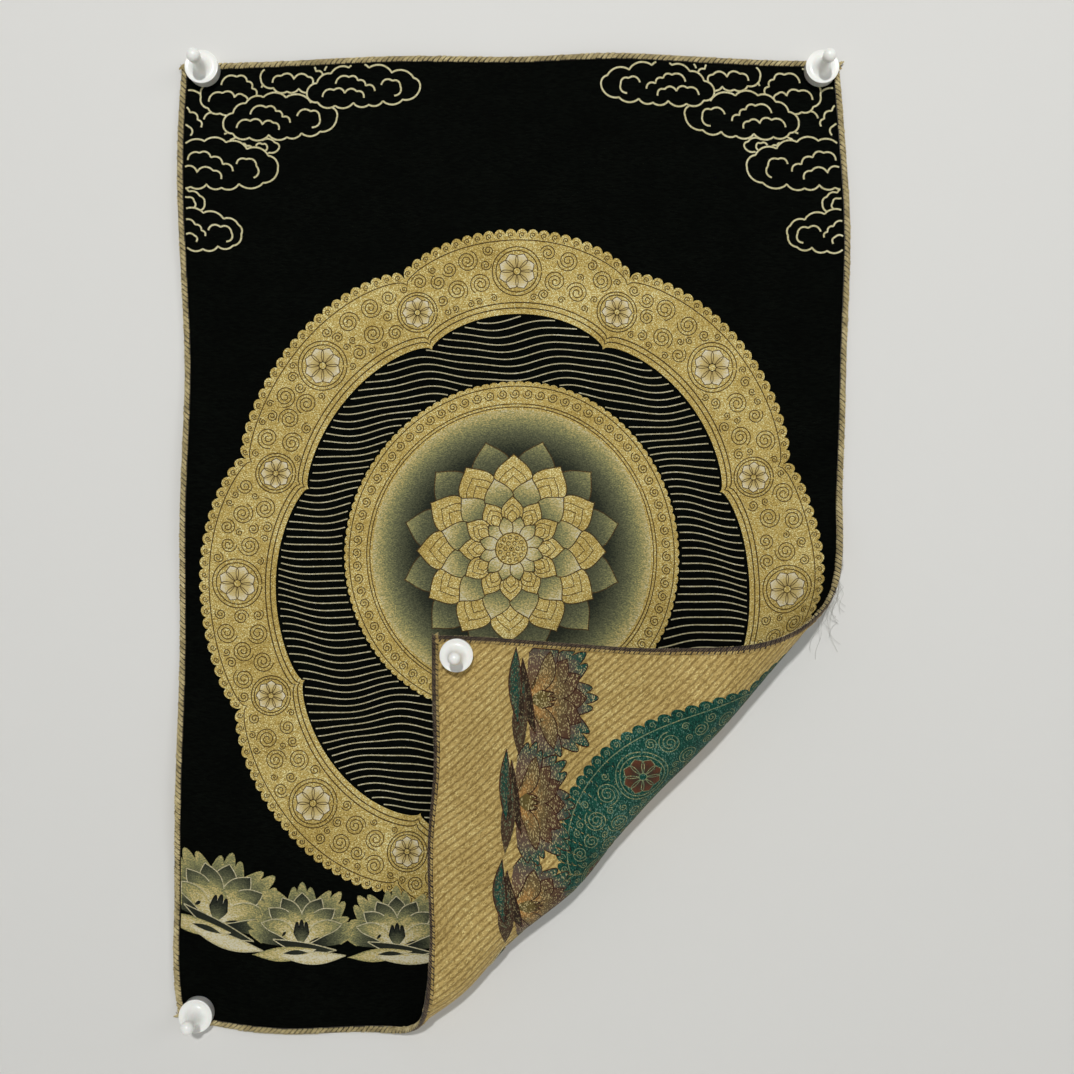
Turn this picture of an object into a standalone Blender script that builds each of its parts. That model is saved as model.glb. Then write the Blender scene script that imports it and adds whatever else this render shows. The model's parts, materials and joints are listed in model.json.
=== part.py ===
"""A woven brocade panel pinned flat to a wall, its lower right corner turned up over the front and pinned there.

The panel hangs in the X-Z plane with +Z up. The wall's face is Y = 0, and the viewer stands on the -Y side.
The origin lies on the wall's face, halfway between the needles of the two top pins. Sizes are in metres.
"""

import math

import bmesh
import bpy
import numpy as np

# The panel as it was cut, and where it hangs
PANEL_WIDTH = 0.300
PANEL_HEIGHT = 0.440
PANEL_TOP = 0.006
PANEL_BOTTOM = PANEL_TOP - PANEL_HEIGHT
CLOTH_THICKNESS = 0.0010
CLOTH_MIDDLE = 0.0013  # from the wall's face to the middle of the cloth

# The band of sewing thread that wraps the cut edge
BAND_WIDTH = 0.0026
BAND_THICKNESS = 0.0016
GAP = 0.0003  # between pieces that touch on the real object
CLOTH_INSET = BAND_WIDTH + GAP

# The cut edges as they hang, drawn in and out a little: columns are height (Z) and side (X)
LEFT_EDGE = (
    (+0.006, -0.1492),
    (-0.012, -0.1505),
    (-0.094, -0.1494),
    (-0.134, -0.1480),
    (-0.216, -0.1498),
    (-0.298, -0.1507),
    (-0.379, -0.1525),
    (-0.407, -0.1532),
    (-0.420, -0.1525),
    (-0.434, -0.1505),
)
RIGHT_EDGE = (
    (+0.006, 0.1475),
    (-0.014, 0.1493),
    (-0.034, 0.1507),
    (-0.066, 0.1522),
    (-0.107, 0.1518),
    (-0.148, 0.1507),
    (-0.190, 0.1496),
    (-0.215, 0.1492),
    (-0.250, 0.1480),
    (-0.270, 0.1455),
    (-0.290, 0.1434),
    (-0.330, 0.1428),
    (-0.370, 0.1446),
    (-0.405, 0.1460),
    (-0.434, 0.1461),
)
# Columns are side (X) and height (Z)
TOP_EDGE = (
    (-0.150, 0.0036),
    (-0.133, 0.0040),
    (-0.105, 0.0049),
    (-0.078, 0.0059),
    (-0.051, 0.0068),
    (+0.003, 0.0070),
    (+0.051, 0.0079),
    (+0.072, 0.0072),
    (+0.099, 0.0063),
    (+0.119, 0.0054),
    (+0.150, 0.0050),
)
BOTTOM_EDGE = (
    (-0.150, -0.4275),
    (-0.133, -0.4312),
    (-0.119, -0.4332),
    (-0.105, -0.4341),
    (-0.065, -0.4346),
    (-0.020, -0.4325),
    (+0.020, -0.4322),
    (+0.040, -0.4350),
    (+0.060, -0.4380),
    (+0.100, -0.4398),
    (+0.150, -0.4402),
)

# Where the cloth stands off the wall between its pins: columns are the edge, the ripple's middle along that edge,
# its half length, and how far it rises
RIPPLES = (
    ("left", -0.062, 0.055, 0.0020),
    ("left", -0.190, 0.072, 0.0028),
    ("left", -0.330, 0.072, 0.0032),
    ("right", -0.075, 0.058, 0.0022),
    ("right", -0.155, 0.040, 0.0012),
    ("top", -0.058, 0.060, 0.0012),
    ("top", +0.052, 0.055, 0.0018),
    ("bottom", -0.100, 0.032, 0.0014),
)
RIPPLE_DEPTH = 0.050  # how far a ripple runs in from its edge

# The turned-up corner is bent as a cone: straight lines fan out from an apex on the wall, below and left of the panel
APEX_SIDE = -0.2545
APEX_HEIGHT = -0.6505
LEAVING_ANGLE = math.radians(49.16)  # the line along which the cloth leaves the wall, above the horizontal
ROLL_SLOPE = 0.0450  # the roll's radius for each metre from the apex
LANDING_START = math.radians(15.4)  # swings about the apex, from the leaving line, between which
LANDING_END = math.radians(20.2)  # the flap bends back to lie on the front
CORNER_LIFT = 0.0018  # from the middle of the front layer to the middle of the flap at its corner
SWING_END = math.radians(26.0)
SWING_STEP = math.radians(0.05)

# The ridge of the roll bows outwards unevenly: columns are the distance from the apex along the leaving line, and
# how far the ridge is carried across it
RIDGE_BOW = (
    (0.290, -0.0012),
    (0.312, -0.0009),
    (0.336, 0.0030),
    (0.367, 0.0020),
    (0.407, 0.0062),
    (0.431, 0.0038),
    (0.450, 0.0030),
    (0.500, 0.0032),
    (0.530, 0.0012),
    (0.560, -0.0006),
)
BOW_FADE_IN = math.radians(7.0)
BOW_FADE_START = math.radians(9.7)
BOW_FADE_END = math.radians(24.0)

# Push pins: columns are the name, the side and height of the needle, and the distance from the wall to the flange
PINS = (
    ("top_left", -0.1387, 0.0000, 0.0024),
    ("top_right", +0.1387, 0.0000, 0.0024),
    ("bottom_left", -0.1414, -0.4242, 0.0024),
    ("flap", -0.0247, -0.2628, 0.0044),
)
NEEDLE_RADIUS = 0.0005
NEEDLE_IN_WALL = 0.0085
NEEDLE_POINT = 0.0020
NEEDLE_IN_HEAD = 0.0047
SOCKET_RADIUS = 0.0008
SOCKET_DEPTH = 0.0050
NEEDLE_SIDES = 10
NEEDLE_HOLE_RADIUS = 0.0008
NEEDLE_HOLE_SIDES = 12
# The turned head from its socket to the stem: columns are the radius and the distance from the flange's back
HEAD_PROFILE = (
    (0.0068, 0.0000),
    (0.0072, 0.0004),
    (0.0072, 0.0041),
    (0.0075, 0.0047),
    (0.0073, 0.0052),
    (0.0067, 0.0050),
    (0.0052, 0.0049),
    (0.0037, 0.0058),
    (0.0027, 0.0080),
    (0.0022, 0.0112),
)
KNOB_RADIUS = 0.0030
KNOB_CENTRE = 0.0155
KNOB_STEPS = 6
STEM_RADIUS = HEAD_PROFILE[-1][0]
HEAD_SIDES = 20

# How finely the cloth is divided
LEFT_STEPS = 20
MIDDLE_STEPS = 4
UPPER_RIGHT_STEPS = 8
ROLL_STEPS = 22
FLAP_STEPS = 5
LANDING_STEPS = 5
CORNER_STEPS = 2
COLUMNS = 18


def read(table, place):
    """The second column of a table at a place along its first, on a smooth curve through the rows."""
    places, values = np.array(sorted(table)).T
    slopes = np.gradient(values, places)
    place = min(max(place, places[0]), places[-1])
    row = min(int(np.searchsorted(places, place, side="right")), len(places) - 1) - 1
    length = places[row + 1] - places[row]
    share = (place - places[row]) / length
    rest = 1.0 - share
    return float(
        values[row] * (1.0 + 2.0 * share) * rest**2
        + values[row + 1] * (3.0 - 2.0 * share) * share**2
        + slopes[row] * length * share * rest**2
        - slopes[row + 1] * length * rest * share**2
    )


def soft_step(share):
    """A smooth rise from 0 to 1."""
    share = min(max(share, 0.0), 1.0)
    return share * share * (3.0 - 2.0 * share)


def hump(share):
    """A smooth hump, 1 at the middle and 0 from one unit away."""
    return math.cos(share * math.pi / 2.0) ** 2 if abs(share) < 1.0 else 0.0


def sweep(descent):
    """Swing a ray about the apex through the roll, down and onto the front again.

    Each row holds the swing, the ray and the outward face of the cloth's front there. Their axes run along the
    leaving line, across it, and away from the wall.
    """
    roll_end = (math.pi + descent) * math.tan(ROLL_SLOPE)
    ray = np.array((1.0, 0.0, 0.0))
    across = np.array((0.0, 1.0, 0.0))
    face = np.array((0.0, 0.0, 1.0))
    rows = [(0.0, ray, face)]
    steps = round(SWING_END / SWING_STEP)
    for step in range(steps):
        rolled = min(max(roll_end - step * SWING_STEP, 0.0), SWING_STEP)
        bend = rolled / math.tan(ROLL_SLOPE)
        share = ((step + 0.5) * SWING_STEP - LANDING_START) / (LANDING_END - LANDING_START)
        if 0.0 < share < 1.0:
            bend -= descent * (1.0 - math.cos(2.0 * math.pi * share)) * SWING_STEP / (LANDING_END - LANDING_START)
        ray, across = (
            ray * math.cos(SWING_STEP) + across * math.sin(SWING_STEP),
            across * math.cos(SWING_STEP) - ray * math.sin(SWING_STEP),
        )
        across, face = (
            across * math.cos(bend) + face * math.sin(bend),
            face * math.cos(bend) - across * math.sin(bend),
        )
        rows.append(((step + 1) * SWING_STEP, ray, face))
    return rows


def from_apex(side, height):
    """The distance from the apex, and the swing from the leaving line, of a point of the flat cloth."""
    right, up = side - APEX_SIDE, height - APEX_HEIGHT
    return math.hypot(right, up), LEAVING_ANGLE - math.atan2(up, right)


def hanging_outline(side, height):
    """Move a point of the cut panel to where the uneven edges draw it."""
    right_share = side / PANEL_WIDTH + 0.5
    down_share = (PANEL_TOP - height) / PANEL_HEIGHT
    left = read(LEFT_EDGE, height) + PANEL_WIDTH / 2.0
    right = read(RIGHT_EDGE, height) - PANEL_WIDTH / 2.0
    top = read(TOP_EDGE, side) - PANEL_TOP
    bottom = read(BOTTOM_EDGE, side) - PANEL_BOTTOM
    return (
        side + left * (1.0 - right_share) + right * right_share,
        height + top * (1.0 - down_share) + bottom * down_share,
    )


def lift_at(rows, swing, distance):
    """How far the middle of the cloth stands from the front layer's middle at a swing and distance."""
    return distance * float(np.interp(swing, [row[0] for row in rows], [row[1][2] for row in rows]))


def landing_sweep():
    """The sweep whose flap comes down to lie on the front at the panel's corner."""
    distance, swing = from_apex(*hanging_outline(PANEL_WIDTH / 2.0, PANEL_BOTTOM))
    shallow, steep = math.radians(5.0), math.radians(60.0)
    while steep - shallow > math.radians(0.001):
        descent = (shallow + steep) / 2.0
        if lift_at(sweep(descent), swing, distance) > CORNER_LIFT:
            shallow = descent
        else:
            steep = descent
    return sweep(steep), (math.pi + steep) * math.tan(ROLL_SLOPE)


SWEEP, ROLL_END = landing_sweep()
SWINGS = np.array([row[0] for row in SWEEP])
RAYS = np.array([row[1] for row in SWEEP])
FACES = np.array([row[2] for row in SWEEP])


def ripple(side, height):
    """How far the cloth stands off the wall at a point, away from its pins."""
    rise = 0.0
    for edge, middle, half_length, top_rise in RIPPLES:
        along, inward = {
            "left": (height, side + PANEL_WIDTH / 2.0),
            "right": (height, PANEL_WIDTH / 2.0 - side),
            "top": (side, PANEL_TOP - height),
            "bottom": (side, height - PANEL_BOTTOM),
        }[edge]
        rise += top_rise * hump((along - middle) / half_length) * hump(inward / RIPPLE_DEPTH)
    return rise


def ridge_bow(along, swing):
    """How far the bow carries a point across the leaving line."""
    fade = soft_step(1.0 + swing / BOW_FADE_IN)
    fade *= soft_step((BOW_FADE_END - swing) / (BOW_FADE_END - BOW_FADE_START))
    return fade * read(RIDGE_BOW, along)


def place(side, height, out=0.0):
    """Where a point of the cut panel hangs, `out` from the cloth's middle towards its front face."""
    distance, swing = from_apex(*hanging_outline(side, height))
    out += ripple(side, height)
    if swing <= 0.0:
        ray = np.array((math.cos(swing), math.sin(swing), 0.0))
        face = np.array((0.0, 0.0, 1.0))
    else:
        ray = np.array([np.interp(swing, SWINGS, RAYS[:, axis]) for axis in range(3)])
        face = np.array([np.interp(swing, SWINGS, FACES[:, axis]) for axis in range(3)])
    along, across, off_wall = distance * ray + out * face
    across += ridge_bow(distance * ray[0], swing)
    run, rise = math.cos(LEAVING_ANGLE), math.sin(LEAVING_ANGLE)
    return (
        APEX_SIDE + along * run + across * rise,
        -CLOTH_MIDDLE - off_wall,
        APEX_HEIGHT + along * rise - across * run,
    )


def ray_crossing(swing, inset):
    """Where a ray enters and leaves the panel's rectangle, inset on all sides, before its edges are drawn in."""
    run, rise = math.cos(LEAVING_ANGLE - swing), math.sin(LEAVING_ANGLE - swing)
    side, top, bottom = PANEL_WIDTH / 2.0 - inset, PANEL_TOP - inset, PANEL_BOTTOM + inset
    enters = max((-side - APEX_SIDE) / run, (bottom - APEX_HEIGHT) / rise)
    leaves = min((side - APEX_SIDE) / run, (top - APEX_HEIGHT) / rise)
    return (
        (APEX_SIDE + enters * run, APEX_HEIGHT + enters * rise),
        (APEX_SIDE + leaves * run, APEX_HEIGHT + leaves * rise),
    )


def swing_stations(inset):
    """The swings of the rays that divide the cloth, close together where it bends."""
    side, top, bottom = PANEL_WIDTH / 2.0 - inset, PANEL_TOP - inset, PANEL_BOTTOM + inset
    stations = []
    for step in range(LEFT_STEPS):
        stations.append(from_apex(-side, top + (bottom - top) * step / LEFT_STEPS)[1])
    marks = (
        (from_apex(-side, bottom)[1], MIDDLE_STEPS),
        (from_apex(side, top)[1], UPPER_RIGHT_STEPS),
        (0.0, ROLL_STEPS),
        (ROLL_END, FLAP_STEPS),
        (LANDING_START, LANDING_STEPS),
        (LANDING_END, CORNER_STEPS),
        (from_apex(side, bottom)[1], 0),
    )
    for (start, steps), (end, _) in zip(marks, marks[1:]):
        stations += [start + (end - start) * step / steps for step in range(steps)]
    return stations + [marks[-1][0]]


def new_object(name, points, faces, material):
    mesh = bpy.data.meshes.new(name)
    mesh.from_pydata(points, [], faces)
    mesh.materials.append(material)
    thing = bpy.data.objects.new(name, mesh)
    bpy.context.collection.objects.link(thing)
    return thing


def new_material(name, colour, roughness, metallic=0.0):
    material = bpy.data.materials.new(name)
    material.use_nodes = True
    shader = material.node_tree.nodes["Principled BSDF"]
    shader.inputs["Base Color"].default_value = (*colour, 1.0)
    shader.inputs["Roughness"].default_value = roughness
    shader.inputs["Metallic"].default_value = metallic
    return material


def thicken(flat_points, faces, thickness):
    """Close a sheet of faces, whose front has them turning its way, into a solid of the given thickness."""
    count = len(flat_points)
    points = [place(*point, thickness / 2.0) for point in flat_points]
    points += [place(*point, -thickness / 2.0) for point in flat_points]
    edges = {(a, b) for face in faces for a, b in zip(face, face[1:] + face[:1])}
    solid = list(faces)
    solid += [tuple(count + corner for corner in reversed(face)) for face in faces]
    solid += [(b, a, a + count, b + count) for a, b in sorted(edges) if (b, a) not in edges]
    return points, solid


def make_cloth(material):
    """The panel inside its sewn edge, divided along the rays of the fold."""
    flat_points, rows = [], []
    stations = swing_stations(CLOTH_INSET)
    for number, swing in enumerate(stations):
        start, end = ray_crossing(swing, CLOTH_INSET)
        at_corner = number in (0, len(stations) - 1)
        row = []
        for column in range(1 if at_corner else COLUMNS + 1):
            share = column / COLUMNS
            row.append(len(flat_points))
            flat_points.append((start[0] + (end[0] - start[0]) * share, start[1] + (end[1] - start[1]) * share))
        rows.append(row * (COLUMNS + 1) if at_corner else row)
    faces = []
    for upper, lower in zip(rows, rows[1:]):
        for column in range(COLUMNS):
            corners = (upper[column], lower[column], lower[column + 1], upper[column + 1])
            faces.append(tuple(dict.fromkeys(corners)))
    cloth = new_object("cloth", *thicken(flat_points, faces, CLOTH_THICKNESS), material)
    for name, side, height, _ in PINS:
        cut_needle_hole(cloth, name, side, height)
    return cloth


def cut_needle_hole(cloth, name, side, height):
    """Pierce every layer of the cloth where a needle passes."""
    through = 0.04
    bpy.ops.mesh.primitive_cylinder_add(
        vertices=NEEDLE_HOLE_SIDES,
        radius=NEEDLE_HOLE_RADIUS,
        depth=through,
        location=(side, 0.0, height),
        rotation=(math.pi / 2.0, 0.0, 0.0),
    )
    cutter = bpy.context.object
    cutter.name = "needle_hole_" + name
    cutter.hide_render = True
    cutter.display_type = "WIRE"
    hole = cloth.modifiers.new("Needle hole " + name, "BOOLEAN")
    hole.operation = "DIFFERENCE"
    hole.solver = "EXACT"
    hole.object = cutter


def band_section():
    """The band's half-round section: columns are how far out from its inner side, and towards the front."""
    width, half = BAND_WIDTH, BAND_THICKNESS / 2.0
    return (
        (0.0, -half),
        (0.0, half),
        (width * 0.60, half),
        (width, half * 0.35),
        (width, -half * 0.35),
        (width * 0.60, -half),
    )


def make_band(edge, material):
    """The sewn band along one edge. The top and bottom bands run to the corners, between which the others fit."""
    half_width = PANEL_WIDTH / 2.0
    stations = swing_stations(BAND_WIDTH)
    sides = {"left": -half_width + BAND_WIDTH, "right": half_width - BAND_WIDTH}
    heights = {"top": PANEL_TOP - BAND_WIDTH, "bottom": PANEL_BOTTOM + BAND_WIDTH}
    places = []
    for swing in stations:
        for side, height in ray_crossing(swing, BAND_WIDTH):
            if edge in sides and abs(side - sides[edge]) < GAP / 10.0:
                places.append(height)
            if edge in heights and abs(height - heights[edge]) < GAP / 10.0:
                places.append(side)
    places = sorted(places)
    if edge in sides:
        places[0], places[-1] = heights["bottom"] + GAP, heights["top"] - GAP
    else:
        places[0], places[-1] = -half_width, half_width
    places = [places[0]] + [p for p in places[1:-1] if places[0] + GAP < p < places[-1] - GAP] + [places[-1]]
    outward = {"left": (-1.0, 0.0), "right": (1.0, 0.0), "top": (0.0, 1.0), "bottom": (0.0, -1.0)}[edge]
    section = band_section()
    points = []
    for along in places:
        inner = (sides[edge], along) if edge in sides else (along, heights[edge])
        for out, forward in section:
            points.append(place(inner[0] + outward[0] * out, inner[1] + outward[1] * out, forward))
    sides_round = len(section)
    faces = [tuple(range(sides_round)), tuple(reversed(range(len(points) - sides_round, len(points))))]
    for start in range(0, len(points) - sides_round, sides_round):
        for corner in range(sides_round):
            after = (corner + 1) % sides_round
            faces.append((start + after, start + corner, start + corner + sides_round, start + after + sides_round))
    band = new_object("edge_thread_" + edge, points, faces, material)
    face_outwards(band.data)
    return band


def face_outwards(mesh):
    work = bmesh.new()
    work.from_mesh(mesh)
    bmesh.ops.recalc_face_normals(work, faces=work.faces)
    work.to_mesh(mesh)
    work.free()


def turned_mesh(name, profile, sides, material):
    """A solid turned about its own Y axis from a profile that starts and ends on the axis.

    The profile's columns are the radius and the distance towards -Y.
    """
    points, rings = [], []
    for radius, forward in profile:
        ring = []
        for side in range(1 if radius == 0.0 else sides):
            turn = 2.0 * math.pi * side / sides
            ring.append(len(points))
            points.append((radius * math.cos(turn), -forward, radius * math.sin(turn)))
        rings.append(ring * sides if len(ring) == 1 else ring)
    faces = []
    for ring, following in zip(rings, rings[1:]):
        for side in range(sides):
            after = (side + 1) % sides
            corners = (ring[side], ring[after], following[after], following[side])
            faces.append(tuple(dict.fromkeys(corners)))
    mesh = bpy.data.meshes.new(name)
    mesh.from_pydata(points, [], faces)
    mesh.materials.append(material)
    face_outwards(mesh)
    mesh.shade_smooth()
    mesh.set_sharp_from_angle(angle=math.radians(40.0))
    return mesh


def head_mesh(material):
    """The moulded head: a socket for the needle, a flange with a raised lip, a waisted stem and a ball knob."""
    profile = [(0.0, SOCKET_DEPTH), (SOCKET_RADIUS, SOCKET_DEPTH), (SOCKET_RADIUS, 0.0)]
    profile += HEAD_PROFILE
    first = math.asin(STEM_RADIUS / KNOB_RADIUS)
    for step in range(KNOB_STEPS):
        turn = first + (math.pi - first) * step / KNOB_STEPS
        profile.append((KNOB_RADIUS * math.sin(turn), KNOB_CENTRE - KNOB_RADIUS * math.cos(turn)))
    profile.append((0.0, KNOB_CENTRE + KNOB_RADIUS))
    return turned_mesh("pin_head", profile, HEAD_SIDES, material)


def needle_mesh(flange_back, material):
    """A needle from inside the head's socket, through the cloth and into the wall."""
    profile = [
        (0.0, flange_back + NEEDLE_IN_HEAD),
        (NEEDLE_RADIUS, flange_back + NEEDLE_IN_HEAD),
        (NEEDLE_RADIUS, NEEDLE_POINT - NEEDLE_IN_WALL),
        (0.0, -NEEDLE_IN_WALL),
    ]
    return turned_mesh("pin_needle", profile, NEEDLE_SIDES, material)


def make_pins(plastic, steel):
    """Each pin hangs on an empty at the point where its needle enters the wall."""
    shared_head = head_mesh(plastic)
    for name, side, height, flange_back in PINS:
        entry = bpy.data.objects.new("pin_entry_" + name, None)
        entry.location = (side, 0.0, height)
        head = bpy.data.objects.new("pin_head_" + name, shared_head)
        head.location = (0.0, -flange_back, 0.0)
        needle = bpy.data.objects.new("pin_needle_" + name, needle_mesh(flange_back, steel))
        for thing in (entry, head, needle):
            bpy.context.collection.objects.link(thing)
        head.parent = entry
        needle.parent = entry


def main():
    for thing in list(bpy.data.objects):
        bpy.data.objects.remove(thing, do_unlink=True)
    brocade = new_material("Brocade", (0.020, 0.021, 0.017), 0.60)
    thread = new_material("Edge thread", (0.330, 0.270, 0.130), 0.75)
    plastic = new_material("White plastic", (0.820, 0.820, 0.800), 0.30)
    steel = new_material("Needle steel", (0.600, 0.600, 0.600), 0.25, metallic=1.0)
    make_cloth(brocade)
    for edge in ("top", "left", "bottom", "right"):
        make_band(edge, thread)
    make_pins(plastic, steel)


main()
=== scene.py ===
"""The looks of a woven brocade hanging: cloth, woven pattern, sewn edge, push pins and a plain stage."""

import json
import math

import bmesh
import bpy
import numpy as np
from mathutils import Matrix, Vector

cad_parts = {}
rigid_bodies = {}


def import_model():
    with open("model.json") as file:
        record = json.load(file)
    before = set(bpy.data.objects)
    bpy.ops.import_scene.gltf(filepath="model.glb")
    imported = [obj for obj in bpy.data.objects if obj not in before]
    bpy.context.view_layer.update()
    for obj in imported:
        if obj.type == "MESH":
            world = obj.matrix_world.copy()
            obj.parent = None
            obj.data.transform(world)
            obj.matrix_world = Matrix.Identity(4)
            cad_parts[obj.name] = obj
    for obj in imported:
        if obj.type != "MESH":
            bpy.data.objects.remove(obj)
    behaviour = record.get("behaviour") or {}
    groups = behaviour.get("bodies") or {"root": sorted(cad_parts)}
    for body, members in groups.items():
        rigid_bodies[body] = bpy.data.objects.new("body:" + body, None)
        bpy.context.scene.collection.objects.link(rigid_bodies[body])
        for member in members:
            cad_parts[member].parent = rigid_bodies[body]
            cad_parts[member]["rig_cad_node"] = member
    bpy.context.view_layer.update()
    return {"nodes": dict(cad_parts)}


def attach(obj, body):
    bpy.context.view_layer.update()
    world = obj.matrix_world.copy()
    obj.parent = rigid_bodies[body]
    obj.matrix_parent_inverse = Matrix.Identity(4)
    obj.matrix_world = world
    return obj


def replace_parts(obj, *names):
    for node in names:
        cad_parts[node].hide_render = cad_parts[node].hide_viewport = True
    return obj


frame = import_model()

bl_info = {
    "name": "Brocade wall hanging",
    "version": (1, 0, 0),
    "blender": (4, 5, 0),
    "location": "3D View > Sidebar > Hanging",
    "description": "Dresses a pinned brocade panel: weave, pattern, sewn edge, push pins and a stage",
    "category": "Object",
}

MM = 0.001

# The panel as it was cut, and how it hangs: the same rules and values as the solids
PANEL_WIDTH = 0.300
PANEL_HEIGHT = 0.440
PANEL_TOP = 0.006
PANEL_BOTTOM = PANEL_TOP - PANEL_HEIGHT
CLOTH_THICKNESS = 0.0010
CLOTH_MIDDLE = 0.0013  # from the wall's face to the middle of the cloth
BAND_WIDTH = 0.0026
BAND_THICKNESS = 0.0016
GAP = 0.0003
CLOTH_INSET = BAND_WIDTH + GAP

# The cut edges as they hang: columns are height (Z) and side (X)
LEFT_EDGE = (
    (+0.006, -0.1492),
    (-0.012, -0.1505),
    (-0.094, -0.1494),
    (-0.134, -0.1480),
    (-0.216, -0.1498),
    (-0.298, -0.1507),
    (-0.379, -0.1525),
    (-0.407, -0.1532),
    (-0.420, -0.1525),
    (-0.434, -0.1505),
)
RIGHT_EDGE = (
    (+0.006, 0.1475),
    (-0.014, 0.1493),
    (-0.034, 0.1507),
    (-0.066, 0.1522),
    (-0.107, 0.1518),
    (-0.148, 0.1507),
    (-0.190, 0.1496),
    (-0.215, 0.1492),
    (-0.250, 0.1480),
    (-0.270, 0.1455),
    (-0.290, 0.1434),
    (-0.330, 0.1428),
    (-0.370, 0.1446),
    (-0.405, 0.1460),
    (-0.434, 0.1461),
)
# Columns are side (X) and height (Z)
TOP_EDGE = (
    (-0.150, 0.0036),
    (-0.133, 0.0040),
    (-0.105, 0.0049),
    (-0.078, 0.0059),
    (-0.051, 0.0068),
    (+0.003, 0.0070),
    (+0.051, 0.0079),
    (+0.072, 0.0072),
    (+0.099, 0.0063),
    (+0.119, 0.0054),
    (+0.150, 0.0050),
)
BOTTOM_EDGE = (
    (-0.150, -0.4275),
    (-0.133, -0.4312),
    (-0.119, -0.4332),
    (-0.105, -0.4341),
    (-0.065, -0.4346),
    (-0.020, -0.4325),
    (+0.020, -0.4322),
    (+0.040, -0.4350),
    (+0.060, -0.4380),
    (+0.100, -0.4398),
    (+0.150, -0.4402),
)
# Where the cloth stands off the wall: the edge, the ripple's middle along it, its half length, and its rise
RIPPLES = (
    ("left", -0.062, 0.055, 0.0020),
    ("left", -0.190, 0.072, 0.0028),
    ("left", -0.330, 0.072, 0.0032),
    ("right", -0.075, 0.058, 0.0022),
    ("right", -0.155, 0.040, 0.0012),
    ("top", -0.058, 0.060, 0.0012),
    ("top", +0.052, 0.055, 0.0018),
    ("bottom", -0.100, 0.032, 0.0014),
)
RIPPLE_DEPTH = 0.050

# The turned-up corner, bent as a cone about an apex on the wall
APEX_SIDE = -0.2545
APEX_HEIGHT = -0.6505
LEAVING_ANGLE = math.radians(49.16)
ROLL_SLOPE = 0.0450
LANDING_START = math.radians(15.4)
LANDING_END = math.radians(20.2)
CORNER_LIFT = 0.0018
SWING_END = math.radians(26.0)
SWING_STEP = math.radians(0.05)
# The ridge of the roll: columns are the distance from the apex, and how far it is carried across its line
RIDGE_BOW = (
    (0.290, -0.0012),
    (0.312, -0.0009),
    (0.336, 0.0030),
    (0.367, 0.0020),
    (0.407, 0.0062),
    (0.431, 0.0038),
    (0.450, 0.0030),
    (0.500, 0.0032),
    (0.530, 0.0012),
    (0.560, -0.0006),
)
BOW_FADE_IN = math.radians(7.0)
BOW_FADE_START = math.radians(9.7)
BOW_FADE_END = math.radians(24.0)

# Push pins: columns are the name, the needle's side and height, and how far its flange is from the wall
PINS = (
    ("top_left", -0.1387, 0.0000, 0.0024),
    ("top_right", +0.1387, 0.0000, 0.0024),
    ("bottom_left", -0.1414, -0.4242, 0.0024),
    ("flap", -0.0247, -0.2628, 0.0044),
)

# The photograph's camera
CAMERA_PLACE = (0.0112, -0.4690, -0.2101)
SENSOR = 36.0
LENS = 34.66


def srgb(red, green, blue):
    """A linear colour from the 0 to 255 values that a screen shows."""
    share = np.array((red, green, blue)) / 255.0
    linear = np.where(share <= 0.04045, share / 12.92, ((share + 0.055) / 1.055) ** 2.4)
    return tuple(float(value) for value in linear)


def read(table, place):
    """The second column of a table at places along its first, on a smooth curve through the rows."""
    places, values = np.array(sorted(table)).T
    slopes = np.gradient(values, places)
    place = np.clip(place, places[0], places[-1])
    row = np.minimum(np.searchsorted(places, place, side="right"), len(places) - 1) - 1
    length = places[row + 1] - places[row]
    share = (place - places[row]) / length
    rest = 1.0 - share
    return (
        values[row] * (1.0 + 2.0 * share) * rest**2
        + values[row + 1] * (3.0 - 2.0 * share) * share**2
        + slopes[row] * length * share * rest**2
        - slopes[row + 1] * length * rest * share**2
    )


def soft_step(share):
    share = np.clip(share, 0.0, 1.0)
    return share * share * (3.0 - 2.0 * share)


def hump(share):
    return np.where(np.abs(share) < 1.0, np.cos(share * math.pi / 2.0) ** 2, 0.0)


def sweep(descent):
    """Swing a ray about the apex through the roll and down onto the front: rows of swing, ray and face."""
    roll_end = (math.pi + descent) * math.tan(ROLL_SLOPE)
    landing = LANDING_END - LANDING_START
    ray, across, face = np.eye(3)
    rows = [(0.0, ray, face)]
    for step in range(round(SWING_END / SWING_STEP)):
        rolled = min(max(roll_end - step * SWING_STEP, 0.0), SWING_STEP)
        bend = rolled / math.tan(ROLL_SLOPE)
        share = ((step + 0.5) * SWING_STEP - LANDING_START) / landing
        if 0.0 < share < 1.0:
            bend -= descent * (1.0 - math.cos(2.0 * math.pi * share)) * SWING_STEP / landing
        ray, across = (
            ray * math.cos(SWING_STEP) + across * math.sin(SWING_STEP),
            across * math.cos(SWING_STEP) - ray * math.sin(SWING_STEP),
        )
        across, face = (
            across * math.cos(bend) + face * math.sin(bend),
            face * math.cos(bend) - across * math.sin(bend),
        )
        rows.append(((step + 1) * SWING_STEP, ray, face))
    return rows


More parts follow.
